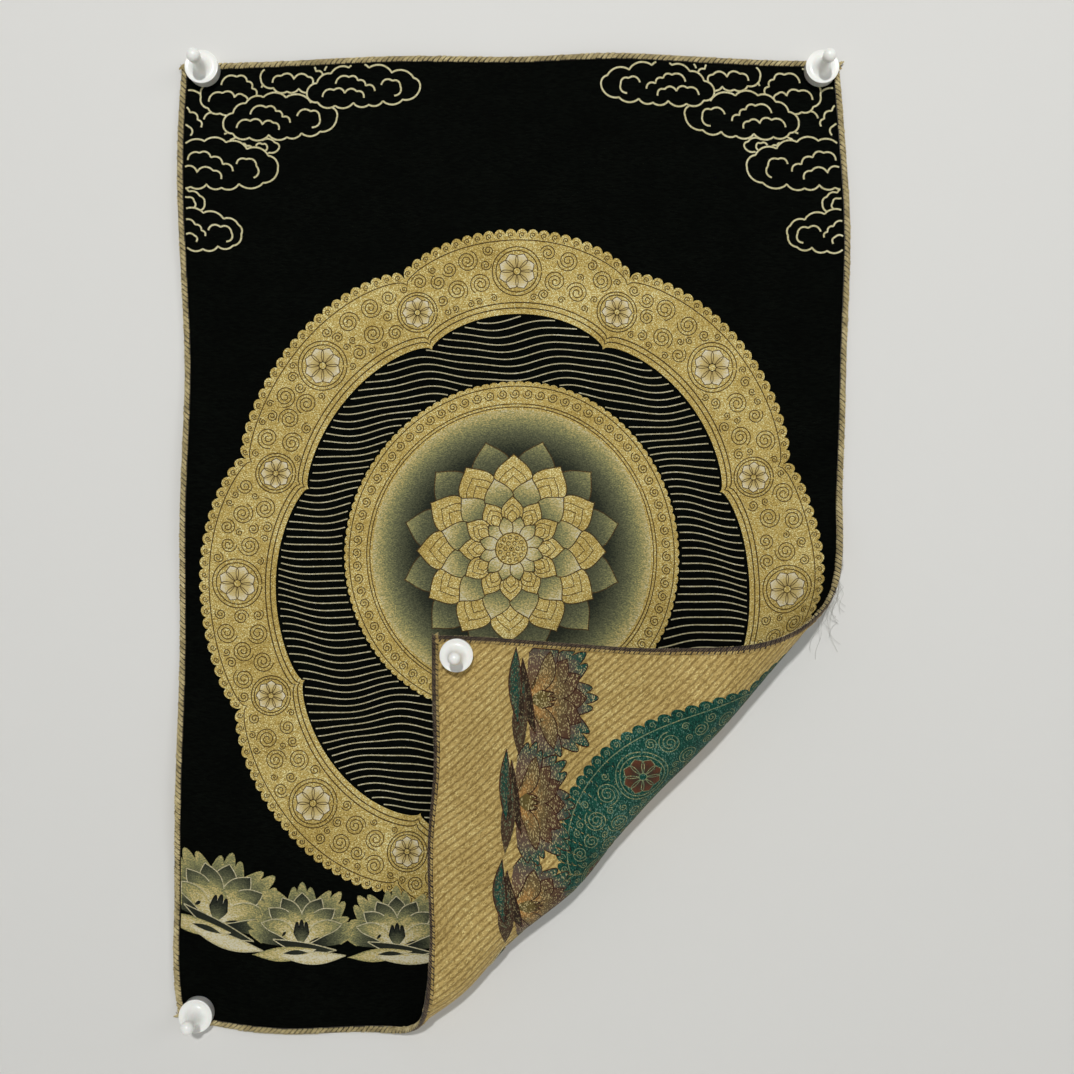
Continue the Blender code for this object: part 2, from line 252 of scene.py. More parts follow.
def hanging_outline(side, height):
    """Move points of the cut panel to where the uneven edges draw them."""
    right_share = side / PANEL_WIDTH + 0.5
    down_share = (PANEL_TOP - height) / PANEL_HEIGHT
    left = read(LEFT_EDGE, height) + PANEL_WIDTH / 2.0
    right = read(RIGHT_EDGE, height) - PANEL_WIDTH / 2.0
    top = read(TOP_EDGE, side) - PANEL_TOP
    bottom = read(BOTTOM_EDGE, side) - PANEL_BOTTOM
    return (
        side + left * (1.0 - right_share) + right * right_share,
        height + top * (1.0 - down_share) + bottom * down_share,
    )


def from_apex(side, height):
    right, up = side - APEX_SIDE, height - APEX_HEIGHT
    return np.hypot(right, up), LEAVING_ANGLE - np.arctan2(up, right)


def landing_sweep():
    """The sweep whose flap comes down to lie on the front at the panel's corner."""
    distance, swing = from_apex(*hanging_outline(PANEL_WIDTH / 2.0, PANEL_BOTTOM))
    shallow, steep = math.radians(5.0), math.radians(60.0)
    while steep - shallow > math.radians(0.001):
        descent = (shallow + steep) / 2.0
        rows = sweep(descent)
        lift = distance * np.interp(swing, [row[0] for row in rows], [row[1][2] for row in rows])
        if lift > CORNER_LIFT:
            shallow = descent
        else:
            steep = descent
    return sweep(steep)


SWEEP = landing_sweep()
SWINGS = np.array([row[0] for row in SWEEP])
RAYS = np.array([row[1] for row in SWEEP])
FACES = np.array([row[2] for row in SWEEP])


def ripple(side, height):
    """How far the cloth stands off the wall, away from its pins."""
    rise = np.zeros(np.shape(side))
    for edge, middle, half_length, top_rise in RIPPLES:
        along, inward = {
            "left": (height, side + PANEL_WIDTH / 2.0),
            "right": (height, PANEL_WIDTH / 2.0 - side),
            "top": (side, PANEL_TOP - height),
            "bottom": (side, height - PANEL_BOTTOM),
        }[edge]
        rise = rise + top_rise * hump((along - middle) / half_length) * hump(inward / RIPPLE_DEPTH)
    return rise


def ridge_bow(along, swing):
    fade = soft_step(1.0 + swing / BOW_FADE_IN)
    fade = fade * soft_step((BOW_FADE_END - swing) / (BOW_FADE_END - BOW_FADE_START))
    return fade * read(RIDGE_BOW, along)


def hang(flat, out=0.0):
    """Where points of the cut panel hang. `flat` holds sides and heights, and `out` is towards the front."""
    flat = np.asarray(flat, float)
    side, height = flat[..., 0], flat[..., 1]
    distance, swing = from_apex(*hanging_outline(side, height))
    out = out + ripple(side, height)
    turned = [np.interp(swing, SWINGS, RAYS[:, axis]) for axis in range(3)]
    on_wall = swing <= 0.0
    ray = np.stack(
        [
            np.where(on_wall, np.cos(swing), turned[0]),
            np.where(on_wall, np.sin(swing), turned[1]),
            np.where(on_wall, 0.0, turned[2]),
        ],
        -1,
    )
    face = np.stack([np.interp(swing, SWINGS, FACES[:, axis]) for axis in range(3)], -1)
    moved = distance[..., None] * ray + np.asarray(out)[..., None] * face
    along, across, off_wall = moved[..., 0], moved[..., 1], moved[..., 2]
    across = across + ridge_bow(distance * ray[..., 0], swing)
    run, rise = math.cos(LEAVING_ANGLE), math.sin(LEAVING_ANGLE)
    return np.stack(
        [
            APEX_SIDE + along * run + across * rise,
            -CLOTH_MIDDLE - off_wall,
            APEX_HEIGHT + along * rise - across * run,
        ],
        -1,
    )


# Node trees
ROW_SHIFT = 0.37  # how far each row of thread starts after the one below it, for a float's length
THREAD_RELIEF = 0.00010
RIB_RELIEF = 0.00022


def add_node(tree, kind, inputs=None, **settings):
    """A new node with its settings, and its inputs given as values or as sockets to link."""
    made = tree.nodes.new(kind)
    for key, value in settings.items():
        setattr(made, key, value)
    for key, value in (inputs or {}).items():
        if isinstance(value, bpy.types.NodeSocket):
            tree.links.new(value, made.inputs[key])
        else:
            made.inputs[key].default_value = value
    return made


def math_node(tree, operation, *values):
    return add_node(tree, "ShaderNodeMath", dict(enumerate(values)), operation=operation).outputs[0]


def times(tree, first, second):
    return math_node(tree, "MULTIPLY", first, second)


def plus(tree, first, second):
    return math_node(tree, "ADD", first, second)


def minus(tree, first, second):
    return math_node(tree, "SUBTRACT", first, second)


def noise(tree, place, scale, detail):
    inputs = {"Vector": place, "Scale": scale, "Detail": detail}
    return add_node(tree, "ShaderNodeTexNoise", inputs).outputs[0]


def rescale(tree, value, low, high, start=0.0, end=1.0, **settings):
    """A value between low and high, carried over to between start and end."""
    inputs = {"Value": value, "From Min": low, "From Max": high, "To Min": start, "To Max": end}
    return add_node(tree, "ShaderNodeMapRange", inputs, **settings).outputs[0]


def object_place(tree):
    return add_node(tree, "ShaderNodeTexCoord").outputs["Object"]


def with_alpha(colour):
    return (colour[0], colour[1], colour[2], 1.0)


def mix_colour(tree, share, *colours):
    """A mix of two colours, each given as a socket or as a value."""
    first, second = (
        colour if isinstance(colour, bpy.types.NodeSocket) else with_alpha(colour) for colour in colours
    )
    inputs = {0: share, 6: first, 7: second}
    return add_node(tree, "ShaderNodeMix", inputs, data_type="RGBA").outputs[2]


def new_group(name, inputs, outputs, kind="ShaderNodeTree"):
    """An empty node group: rows of inputs are name, kind and default, and rows of outputs name and kind."""
    group = bpy.data.node_groups.new(name, kind)
    for label, socket, default in inputs:
        made = group.interface.new_socket(name=label, in_out="INPUT", socket_type="NodeSocket" + socket)
        if default is not None:
            made.default_value = default
    for label, socket in outputs:
        group.interface.new_socket(name=label, in_out="OUTPUT", socket_type="NodeSocket" + socket)
    return group, group.nodes.new("NodeGroupInput").outputs, group.nodes.new("NodeGroupOutput").inputs


def weave_group():
    """Thread cells of a weave: a height for the bump, and a random value for each length of thread."""
    if "Thread weave" in bpy.data.node_groups:
        return bpy.data.node_groups["Thread weave"]
    group, given, result = new_group(
        "Thread weave",
        (("Place", "Vector", None), ("Thread width", "Float", 0.0005), ("Float length", "Float", 0.0010)),
        (("Height", "Float"), ("Thread value", "Float")),
    )
    place = add_node(group, "ShaderNodeSeparateXYZ", {0: given["Place"]}).outputs

    def rounded(place):
        return math_node(group, "SINE", times(group, math_node(group, "FRACT", place), math.pi))

    line = math_node(group, "DIVIDE", place[1], given["Thread width"])
    row = math_node(group, "FLOOR", line)
    along = math_node(group, "DIVIDE", place[0], given["Float length"])
    run = plus(group, along, times(group, row, ROW_SHIFT))
    cell = add_node(group, "ShaderNodeCombineXYZ", {0: math_node(group, "FLOOR", run), 1: row}).outputs[0]
    value = add_node(group, "ShaderNodeTexWhiteNoise", {0: cell}, noise_dimensions="2D").outputs[0]
    crown = math_node(group, "POWER", times(group, rounded(line), rounded(run)), 0.5)
    uneven = plus(group, times(group, value, 0.6), 0.7)
    group.links.new(times(group, crown, uneven), result["Height"])
    group.links.new(value, result["Thread value"])
    return group


def fleck_group():
    """Colour of a glittering thread: mostly its own colour, some threads darker and a few bright ones, which
    are painted glints.
    """
    if "Thread fleck" in bpy.data.node_groups:
        return bpy.data.node_groups["Thread fleck"]
    group, given, result = new_group(
        "Thread fleck",
        (
            ("Thread value", "Float", 0.5),
            ("Place", "Vector", None),
            ("Dark", "Color", None),
            ("Middle", "Color", None),
            ("Bright", "Color", None),
            ("Bright share", "Float", 0.12),
        ),
        (("Colour", "Color"), ("Roughness", "Float")),
    )
    cloud = noise(group, given["Place"], 2000.0, 2.0)
    wide = noise(group, given["Place"], 38.0, 2.0)
    value = plus(group, times(group, given["Thread value"], 0.62), cloud)
    value = plus(group, value, times(group, wide, 0.45))
    body = mix_colour(group, rescale(group, value, 0.68, 1.02), given["Dark"], given["Middle"])
    # Painted glints: the few brightest threads take the bright colour and turn a little glossier.
    edge = minus(group, 1.345, times(group, given["Bright share"], 0.62))
    bright = rescale(group, value, edge, plus(group, edge, 0.10))
    group.links.new(mix_colour(group, bright, body, given["Bright"]), result["Colour"])
    group.links.new(minus(group, 0.62, times(group, bright, 0.24)), result["Roughness"])
    return group


def use_group(tree, group, inputs):
    return add_node(tree, "ShaderNodeGroup", inputs, node_tree=group).outputs


def new_material(name, **constants):
    """A material with its Principled shader's constants set on the shader's own sockets."""
    material = bpy.data.materials.new(name)
    material.use_nodes = True
    shader = material.node_tree.nodes["Principled BSDF"]
    sockets = {socket.name.lower().replace(" ", "_"): socket for socket in shader.inputs}
    for key, value in constants.items():
        sockets[key].default_value = value
    return material, material.node_tree, shader


def cloth_place(tree):
    return add_node(tree, "ShaderNodeUVMap", uv_map="UVMap").outputs[0]


def bump(tree, shader, height, distance, strength=1.0):
    inputs = {"Height": height, "Distance": distance, "Strength": strength}
    lifted = add_node(tree, "ShaderNodeBump", inputs)
    tree.links.new(lifted.outputs[0], shader.inputs["Normal"])


def use_weave(tree, place, thread, run):
    return use_group(tree, weave_group(), {"Place": place, "Thread width": thread, "Float length": run})


def use_fleck(tree, place, weave, colours, share):
    """The glittering thread of three colours, dark, middle and bright, over the cells of a weave. The bright
    colour is for painted glints.
    """
    inputs = {name: with_alpha(colour) for name, colour in zip(("Dark", "Middle", "Bright"), colours)}
    inputs.update({"Thread value": weave["Thread value"], "Place": place, "Bright share": share})
    return use_group(tree, fleck_group(), inputs)


def thread_material(name, *colours, share=0.12, thread=0.00038, run=0.0007, metallic=0.0):
    """A plainly woven or satin-woven area of one thread, in its dark, middle and bright colours. The bright
    colour is for painted glints, on a share of the threads.
    """
    material, tree, shader = new_material(name, metallic=metallic, specular_ior_level=0.12)
    place = cloth_place(tree)
    weave = use_weave(tree, place, thread, run)
    fleck = use_fleck(tree, place, weave, colours, share)
    tree.links.new(fleck["Colour"], shader.inputs["Base Color"])
    tree.links.new(fleck["Roughness"], shader.inputs["Roughness"])
    bump(tree, shader, weave["Height"], THREAD_RELIEF)
    return material


def shaded_material(name, ramp, speckle=0.5, glint=0.0):
    """An area woven from light to dark: the `tone` attribute says how light, and mixed threads dither it.

    Rows of the ramp are a place along it and a colour. A share of the threads may glint gold between them.
    """
    material, tree, shader = new_material(name, specular_ior_level=0.12)
    place = cloth_place(tree)
    weave = use_weave(tree, place, 0.00038, 0.0007)
    tone = add_node(tree, "ShaderNodeAttribute", attribute_name="tone").outputs["Fac"]
    grain = noise(tree, place, 2100.0, 1.0)
    dither = times(tree, minus(tree, weave["Thread value"], 0.5), 0.22)
    dither = plus(tree, dither, times(tree, minus(tree, grain, 0.5), speckle))
    mixed = plus(tree, tone, times(tree, dither, plus(tree, tone, 0.25)))
    colours = add_node(tree, "ShaderNodeValToRGB", {0: mixed})
    stops = colours.color_ramp.elements
    while len(stops) < len(ramp):
        stops.new(0.5)
    for stop, (position, *shade) in zip(stops, ramp):
        stop.position = position
        stop.color = with_alpha(srgb(*shade))
    gold = rescale(tree, plus(tree, weave["Thread value"], grain), 1.26, 1.42, end=glint)
    body = mix_colour(tree, gold, colours.outputs[0], srgb(226, 208, 150))
    tree.links.new(body, shader.inputs["Base Color"])
    shader.inputs["Roughness"].default_value = 0.6
    bump(tree, shader, weave["Height"], THREAD_RELIEF)
    return material


def ground_material(settings):
    """Black satin: long fine floats, hardly lighter where a thread catches the light."""
    material, tree, shader = new_material("Black satin ground", specular_ior_level=0.012)
    place = cloth_place(tree)
    weave = use_weave(tree, place, 0.00042, 0.0021)
    share = times(tree, weave["Thread value"], times(tree, noise(tree, place, 55.0, 4.0), 0.9))
    dark = settings.ground_colour
    lighter = [value * 4.0 for value in dark]
    tree.links.new(mix_colour(tree, share, tuple(dark), tuple(lighter)), shader.inputs["Base Color"])
    shader.inputs["Roughness"].default_value = 0.68
    bump(tree, shader, weave["Height"], 0.00006)
    return material


def ribbed_material(settings):
    """The reverse's gold floats: slanting ribs, with painted shade darkening the narrow groove between them.
    """
    material, tree, shader = new_material("Ribbed gold reverse", specular_ior_level=0.2)
    place = cloth_place(tree)
    parts = add_node(tree, "ShaderNodeSeparateXYZ", {0: place}).outputs
    angle = math.radians(RIB_ANGLE)
    run, rise = math.cos(angle), math.sin(angle)
    across = minus(tree, times(tree, parts[1], run), times(tree, parts[0], rise))
    along = plus(tree, times(tree, parts[0], run), times(tree, parts[1], rise))
    wavering = plus(tree, across, times(tree, noise(tree, place, 45.0, 1.0), 0.0009))
    phase = math_node(tree, "FRACT", math_node(tree, "DIVIDE", wavering, RIB_PITCH))
    from_middle = math_node(tree, "ABSOLUTE", minus(tree, phase, 0.5))
    groove = rescale(tree, from_middle, 0.22, 0.49, interpolation_type="SMOOTHSTEP")
    rib_place = add_node(tree, "ShaderNodeCombineXYZ", {0: along, 1: across}).outputs[0]
    weave = use_weave(tree, rib_place, 0.00050, 0.0011)
    # Dark, middle and bright gold; the bright one is painted glints on a share of the threads.
    colours = srgb(150, 124, 66), settings.reverse_colour, srgb(232, 212, 142)
    fleck = use_fleck(tree, place, weave, colours, 0.13)
    # Painted shade: the grooves between the ribs are darkened towards a deeper gold.
    shade = times(tree, groove, 0.62)
    tree.links.new(mix_colour(tree, shade, fleck["Colour"], srgb(118, 94, 46)), shader.inputs["Base Color"])
    tree.links.new(fleck["Roughness"], shader.inputs["Roughness"])
    bump(tree, shader, minus(tree, times(tree, weave["Height"], 0.4), groove), RIB_RELIEF)
    return material


# Flat drawing. Every shape below is in millimetres on the cut panel: side to the right, height up


def resample(points, step):
    """Points along a line at even steps, its two ends kept."""
    points = np.asarray(points, float)
    lengths = np.hypot(*np.diff(points, axis=0).T)
    along = np.concatenate([[0.0], np.cumsum(lengths)])
    count = max(2, int(math.ceil(along[-1] / step)) + 1)
    at = np.linspace(0.0, along[-1], count)
    return np.stack([np.interp(at, along, points[:, axis]) for axis in range(2)], -1)


def arc(centre, radius, start, end, step=0.9):
    """Part of a circle between two angles in degrees."""
    turn = math.radians(end - start)
    count = max(3, int(abs(turn) * radius / step) + 2)
    angles = math.radians(start) + np.linspace(0.0, turn, count)
    return np.stack([centre[0] + radius * np.cos(angles), centre[1] + radius * np.sin(angles)], -1)


def bulged(start, end, bulge, step=0.9):
    """A line from start to end that bulges to its right by a share of its length."""
    start, end = np.asarray(start, float), np.asarray(end, float)
    chord = end - start
    length = float(np.hypot(*chord))
    share = np.linspace(0.0, 1.0, max(4, int(length * 1.3 / step) + 1))
    right = np.array((chord[1], -chord[0]))
    lift = bulge * np.sin(math.pi * share) ** 0.7
    return start + share[:, None] * chord + lift[:, None] * right


def spiral(centre, radius, turns, start, hand):
    """A curl that winds from its rim into its eye."""
    count = max(10, int(turns * 2.0 * math.pi * radius * 0.6 / 0.7))
    share = np.linspace(0.0, 1.0, count)
    angles = math.radians(start) + hand * share * turns * 2.0 * math.pi
    reach = radius * (1.0 - 0.86 * share)
    return np.stack([centre[0] + reach * np.cos(angles), centre[1] + reach * np.sin(angles)], -1)


def petal_sides(base, tip, width, point=0.50, foot=0.30, rows=16, lean=0.0, fullness=2.0):
    """The two sides of a pointed petal. `point` is where it is widest, and `foot` how wide its base is.

    A greater `fullness` gives it rounder shoulders and a shorter point.
    """
    base, tip = np.asarray(base, float), np.asarray(tip, float)
    along = tip - base
    across = np.array((-along[1], along[0])) / np.hypot(*along)
    share = 1.0 - np.linspace(1.0, 0.0, rows) ** 1.35
    swell = np.where(
        share < point,
        foot + (1.0 - foot) * np.sin(share / point * math.pi / 2.0),
        (1.0 - (np.maximum(share - point, 0.0) / (1.0 - point)) ** fullness) ** 1.3,
    )
    half = np.maximum(width / 2.0 * swell, 0.06)
    spine = base + share[:, None] * along + (lean * np.sin(math.pi * share))[:, None] * across
    return spine + half[:, None] * across, spine - half[:, None] * across


def toothed_petal(base, tip, width, rows, lean, notch, columns=18):
    """A broad petal as a grid of places, with three teeth across its end."""
    base, tip = np.asarray(base, float), np.asarray(tip, float)
    along = tip - base
    across = np.array((-along[1], along[0])) / np.hypot(*along)
    side = np.linspace(1.0, -1.0, columns + 1)[None, :]
    share = np.linspace(0.0, 1.0, rows)[:, None]
    tooth = 1.0 - np.abs(np.cos(1.5 * math.pi * side)) ** 0.8
    reach = share * (1.0 - 0.24 * side**2 - notch * tooth * share**3)
    swell = 0.30 + 0.70 * np.sin(np.minimum(share / 0.72, 1.0) * math.pi / 2.0)
    shift = width / 2.0 * swell * (1.0 - 0.10 * share**4) * side + lean * np.sin(math.pi * share)
    return base + reach[..., None] * along + shift[..., None] * across


def inside(points, outline):
    """Which points lie inside a closed outline."""
    x, y = points[:, 0][:, None], points[:, 1][:, None]
    x0, y0 = outline[:, 0][None], outline[:, 1][None]
    x1, y1 = np.roll(outline[:, 0], -1)[None], np.roll(outline[:, 1], -1)[None]
    crosses = (y0 > y) != (y1 > y)
    at = x0 + (y - y0) * (x1 - x0) / np.where(y1 == y0, 1e-9, y1 - y0)
    return (np.sum(crosses & (x < at), axis=1) % 2).astype(bool)


def kept_runs(points, keep):
    """The stretches of a line whose points are kept."""
    runs, current = [], []
    for point, wanted in zip(points, keep):
        if wanted:
            current.append(point)
        elif current:
            runs.append(np.array(current))
            current = []
    if current:
        runs.append(np.array(current))
    return [run for run in runs if len(run) > 2]


def on_cloth(points):
    """Which points lie on the cloth inside its sewn edge."""
    side, height = points[:, 0], points[:, 1]
    low, high = PANEL_BOTTOM / MM + PATTERN_MARGIN, PANEL_TOP / MM - PATTERN_MARGIN
    return (np.abs(side) < PATTERN_SIDE) & (height < high) & (height > low)


class Weave:
    """Collects slabs woven through the cloth, which show on the front and, in other colours, the reverse."""

    def __init__(self, *materials):
        self.materials = materials
        self.points, self.quads, self.slots, self.flat, self.tones = [], [], [], [], []
        self.count = 0

    def slab(self, grid, lift, slots=(0, 1), tone=0.0, closed=False):
        """A closed slab over a grid of flat places, reaching `lift` millimetres from the cloth's middle."""
        grid = np.asarray(grid, float)
        tone = np.broadcast_to(tone, grid.shape[:2])
        right, up = grid[1:, :-1] - grid[:-1, :-1], grid[:-1, 1:] - grid[:-1, :-1]
        if np.sum(right[..., 0] * up[..., 1] - right[..., 1] * up[..., 0]) < 0.0:
            grid, tone = grid[:, ::-1], tone[:, ::-1]
        rows, columns = grid.shape[:2]
        half = rows * columns
        index = np.arange(half).reshape(rows, columns)
        if closed:
            index = np.vstack([index, index[:1]])
        a, b, c, d = index[:-1, :-1], index[1:, :-1], index[1:, 1:], index[:-1, 1:]
        front = np.stack([a, b, c, d], -1).reshape(-1, 4)
        starts = [index[:-1, 0], index[1:, -1]]
        ends = [index[1:, 0], index[:-1, -1]]
        if not closed:
            starts += [index[-1, :-1], index[0, 1:]]
            ends += [index[-1, 1:], index[0, :-1]]
        starts, ends = np.concatenate(starts), np.concatenate(ends)
        rim = np.stack([ends, starts, starts + half, ends + half], -1)
        places = grid.reshape(-1, 2) * MM
        self.points += [hang(places, lift * MM), hang(places, -lift * MM)]
        self.quads += [front + self.count, front[:, ::-1] + half + self.count, rim + self.count]
        for slot, faces in ((slots[0], front), (slots[1], front), (slots[0], rim)):
            self.slots.append(np.full(len(faces), slot))
        self.flat += [places, places]
        self.tones += [tone.ravel(), tone.ravel()]
        self.count += 2 * half

    def between(self, left, right, lift, columns=3, slots=(0, 1), tone=0.0, closed=False):
        """A slab between two sides with the same number of points. Its tone may differ from row to row."""
        share = np.linspace(0.0, 1.0, columns + 1)[None, :, None]
        grid = np.asarray(left)[:, None] * (1.0 - share) + np.asarray(right)[:, None] * share
        tone = np.asarray(tone, float)
        self.slab(grid, lift, slots, tone[:, None] if tone.ndim == 1 else tone, closed)

    def line(self, points, width, lift, slots=(0, 1), closed=False, tone=0.0):
        """A woven line of one width along flat points."""
        points = np.asarray(points, float)
        if closed:
            before, after = np.roll(points, 1, axis=0), np.roll(points, -1, axis=0)
        else:
            before = np.vstack([points[:1], points[:-1]])
            after = np.vstack([points[1:], points[-1:]])
        ahead = after - before
        ahead = ahead / np.maximum(np.hypot(ahead[:, 0], ahead[:, 1]), 1e-9)[:, None]
        across = np.stack([-ahead[:, 1], ahead[:, 0]], -1) * width / 2.0
        self.between(points + across, points - across, lift, 1, slots, tone, closed)

    def piece(self, name):
        """All the slabs as one piece, with flat places in metres as its UV map and an attribute `tone`."""
        points, quads = np.concatenate(self.points), np.concatenate(self.quads)
        mesh = new_mesh(name, points, quads.tolist(), self.materials, np.concatenate(self.slots))
        give_flat_map(mesh, np.concatenate(self.flat))
        tone = mesh.attributes.new("tone", "FLOAT", "POINT")
        tone.data.foreach_set("value", np.concatenate(self.tones).astype(np.float32))
        return new_piece(name, mesh)


def new_mesh(name, points, faces, materials, slots=None, sharp=40.0, outwards=False):
    """A smooth mesh that keeps edges over `sharp` degrees, with its faces turned outwards if asked."""
    mesh = bpy.data.meshes.new(name)
    mesh.from_pydata(np.asarray(points, float).tolist(), [], faces)
    for material in materials:
        mesh.materials.append(material)
    if slots is not None:
        mesh.polygons.foreach_set("material_index", np.asarray(slots, np.int32))
    if outwards:
        face_outwards(mesh)
    mesh.shade_smooth()
    mesh.set_sharp_from_angle(angle=math.radians(sharp))
    return mesh


def give_flat_map(mesh, flat):
    """A UV map in metres on the cut panel, from its lower left corner."""
    corners = np.zeros(len(mesh.loops), np.int32)
    mesh.loops.foreach_get("vertex_index", corners)
    layer = mesh.uv_layers.new(name="UVMap")
    places = flat[corners] + np.array((PANEL_WIDTH / 2.0, -PANEL_BOTTOM))
    layer.data.foreach_set("uv", places.astype(np.float32).ravel())


def new_piece(name, mesh):
    """An object of the hanging, at the origin, that rides with the panel."""
    made = bpy.data.objects.new(name, mesh)
    bpy.context.scene.collection.objects.link(made)
    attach(made, "root")
    return made


# The woven pattern, in millimetres
PATTERN_MARGIN = 3.4  # of bare cloth inside the sewn edge
PATTERN_SIDE = PANEL_WIDTH / MM / 2.0 - PATTERN_MARGIN
LIFT_FILL = 0.57  # from the cloth's middle: the filled areas
LIFT_STEP = 0.02  # between shapes that overlap
LIFT_LINE = 0.66  # the line work on top
LIFT_LOTUS = 0.70
LOTUS_STEP = 0.008
LOTUS_STAGGER = 0.13  # of every other flower
PETAL_FOOT = 0.30  # the width of a base for the widest place
LEAF_FOOT = 0.04
PETAL_FULLNESS = 3.2
PETAL_NOTCH = 0.17  # how deep the notches of a toothed end go, for its length
HEART_NOTCH = 0.36
FRAME_CENTRE = np.array((0.8, -231.0))
FRAME_STRETCH = 1.12  # the frame's height for its width
FRAME_SQUARENESS = 0.07  # how much further it reaches towards the turned-up corner
LOBES = 8
BAND_OUTER = 132.0
BAND_OUTER_SWELL = 8.0
BAND_INNER = 101.0
BAND_INNER_SWELL = 6.5
BAND_COLUMNS = 14
FRAME_LINE = 2.6  # from the frame's outer side to the line inside it
FRAME_LINES = (2.4, 4.6)  # from the frame's inner side to the two lines outside it
RIM_BEADS = 176
RIM_BEAD_RISE = 1.9
BLOSSOM_REACHES = (8.4, 6.8)  # of the blossoms in the lobes, and of those between them
BLOSSOM_ROOMS = (11.3, 9.2)  # how far round them the curls keep off
BLOSSOM_PETALS = 8
CURL_SEED = 5
CURL_LINE = 0.38
CURL_GAP = 0.3
CURL_BAND = BAND_OUTER - BAND_INNER - 7.2  # the width between the frame's lines
# Curls in the frame: columns are the radius, the turns and how many places are tried
CURLS = ((4.9, 2.6, 900), (3.6, 2.1, 2000), (2.6, 1.8, 4000), (1.8, 1.5, 7000))
ROSETTE_CENTRE = np.array((0.0, -217.0))
HALO_OUTER = 75.0
HALO_INNER = 63.0
HALO_BEADS = 120
HALO_BEAD_RISE = 0.9
HALO_CURLS = 76
ROSETTE_REACH = 50.0
ROSETTE_PETALS = 12
ROSETTE_HEART = 7.6
WAVE_PITCH = 3.3
WAVE_WIDTH = 0.50
RIB_ANGLE = 47.0  # of the reverse's ribs, seen from the front
RIB_PITCH = 0.00285
CLOUD_LINE = 0.76
CLOUD_STEP = 0.004  # between the lines of clouds that overlap

# Corner clouds, front ones first: columns are the side and height of the nose, the length and the height.
# The other corner mirrors them
CLOUDS = (
    (-42.0, -8.5, 45.0, 16.5),
    (-79.0, -21.0, 46.0, 18.0),
    (-106.0, -42.5, 47.0, 21.0),
    (-121.5, -72.5, 37.0, 16.5),
    (-69.0, -1.0, 40.0, 17.0),
    (-97.0, -8.0, 40.0, 22.0),
    (-121.0, -22.0, 42.0, 23.0),
    (-105.0, -33.0, 27.0, 7.5),
    (-138.0, -58.5, 25.0, 12.0),
)
# A cloud's outline and the marks inside it: columns are the shares of its length, from the tail, and height
CLOUD_OUTLINE = (
    (1.00, 0.40),
    (0.94, 0.67),
    (0.75, 0.82),
    (0.53, 0.97),
    (0.30, 1.00),
    (0.10, 0.86),
    (-0.03, 0.62),
    (-0.10, 0.34),
    (0.02, 0.10),
    (0.17, -0.01),
    (0.33, 0.05),
    (0.50, -0.02),
    (0.67, 0.07),
    (0.87, 0.09),
)
CLOUD_MARKS = (
    ((0.15, 0.58), (0.29, 0.74), (0.41, 0.64), (0.50, 0.49), (0.57, 0.34)),
    ((0.61, 0.50), (0.73, 0.60), (0.84, 0.45), (0.79, 0.20)),
    ((0.02, 0.24), (0.14, 0.41), (0.28, 0.31), (0.41, 0.35), (0.46, 0.17)),
)

# Lotus flowers along the foot: columns are the base's side and height, the size and the turn in degrees
LOTUSES = (
    (-131.0, -384.5, 1.16, -13.0),
    (-92.0, -392.5, 0.98, 0.0),
    (-49.5, -393.5, 0.94, 0.0),
    (-6.0, -394.0, 0.94, 0.0),
    (38.0, -393.5, 0.94, 0.0),
    (82.0, -392.0, 0.98, 0.0),
    (124.0, -387.0, 1.12, -6.0),
)
# One flower in its own millimetres, back to front: columns are the reverse's colour, the base, the tip, the
# width, how far the petal leans to its left, the tones at its base and tip, whether its end is toothed,
# whether it has an outline, and whether it has a twin on the flower's other side
LOTUS_PETALS = (
    ("back", (0.0, 2.0), (0.0, 27.5), 15.0, 0.0, 0.00, 0.70, True, False, False),
    ("back", (1.5, 1.0), (18.0, 23.0), 16.0, 0.8, 0.00, 0.76, True, False, True),
    ("back", (3.0, 0.0), (25.0, 8.5), 14.0, 1.4, 0.00, 0.74, True, False, True),
    ("petal", (0.0, 4.0), (0.0, 23.0), 9.4, 0.0, 0.95, 0.10, False, True, False),
    ("petal", (1.0, 3.0), (9.2, 20.4), 8.8, 1.0, 0.96, 0.12, False, True, True),
    ("petal", (1.5, 2.0), (15.4, 15.4), 8.2, 1.4, 0.98, 0.22, False, True, True),
    ("petal", (0.2, 0.0), (5.4, 14.6), 10.0, 0.4, 1.00, 0.58, False, False, True),
    ("petal", (0.4, -0.4), (11.4, 11.0), 9.0, 0.8, 1.00, 0.70, False, False, True),
    ("petal", (0.0, -1.6), (0.0, 9.0), 13.0, 0.0, 1.00, 0.90, False, False, False),
    ("petal", (1.2, -0.9), (18.8, 8.4), 7.0, 2.6, 0.97, 0.50, False, True, True),
    ("heart", (-8.8, 2.6), (-7.2, 4.8), 1.3, 0.0, 0.10, 0.02, False, False, False),
    ("heart", (3.8, 0.2), (8.6, 2.4), 0.8, 0.0, 0.10, 0.02, False, False, False),
    ("heart", (0.0, 0.0), (0.0, 10.4), 7.6, 0.0, 0.56, 0.00, True, False, False),
    ("leaf", (-13.0, 1.0), (16.5, -3.6), 5.2, -1.4, 0.12, 0.24, False, True, False),
    ("leaf", (7.0, -3.2), (-22.5, -6.4), 6.6, 0.8, 0.92, 0.72, False, False, False),
    ("leaf", (-9.0, -6.4), (21.0, -6.2), 5.6, -0.8, 0.97, 0.99, False, True, False),
    ("leaf", (-8.0, -5.2), (3.5, -4.8), 2.2, 0.4, 0.08, 0.30, False, False, False),
)


def lobe(angles):
    """The swell of the medallion's frame: 1 in the middle of a lobe and 0 at the notch between two."""
    return np.sqrt(np.abs(np.cos(angles * LOBES / 2.0)))


def beads(angles, number, rise):
    """The swell of a number of round beads along a ring."""
    return rise * np.abs(np.sin(angles * number / 2.0)) ** 0.6


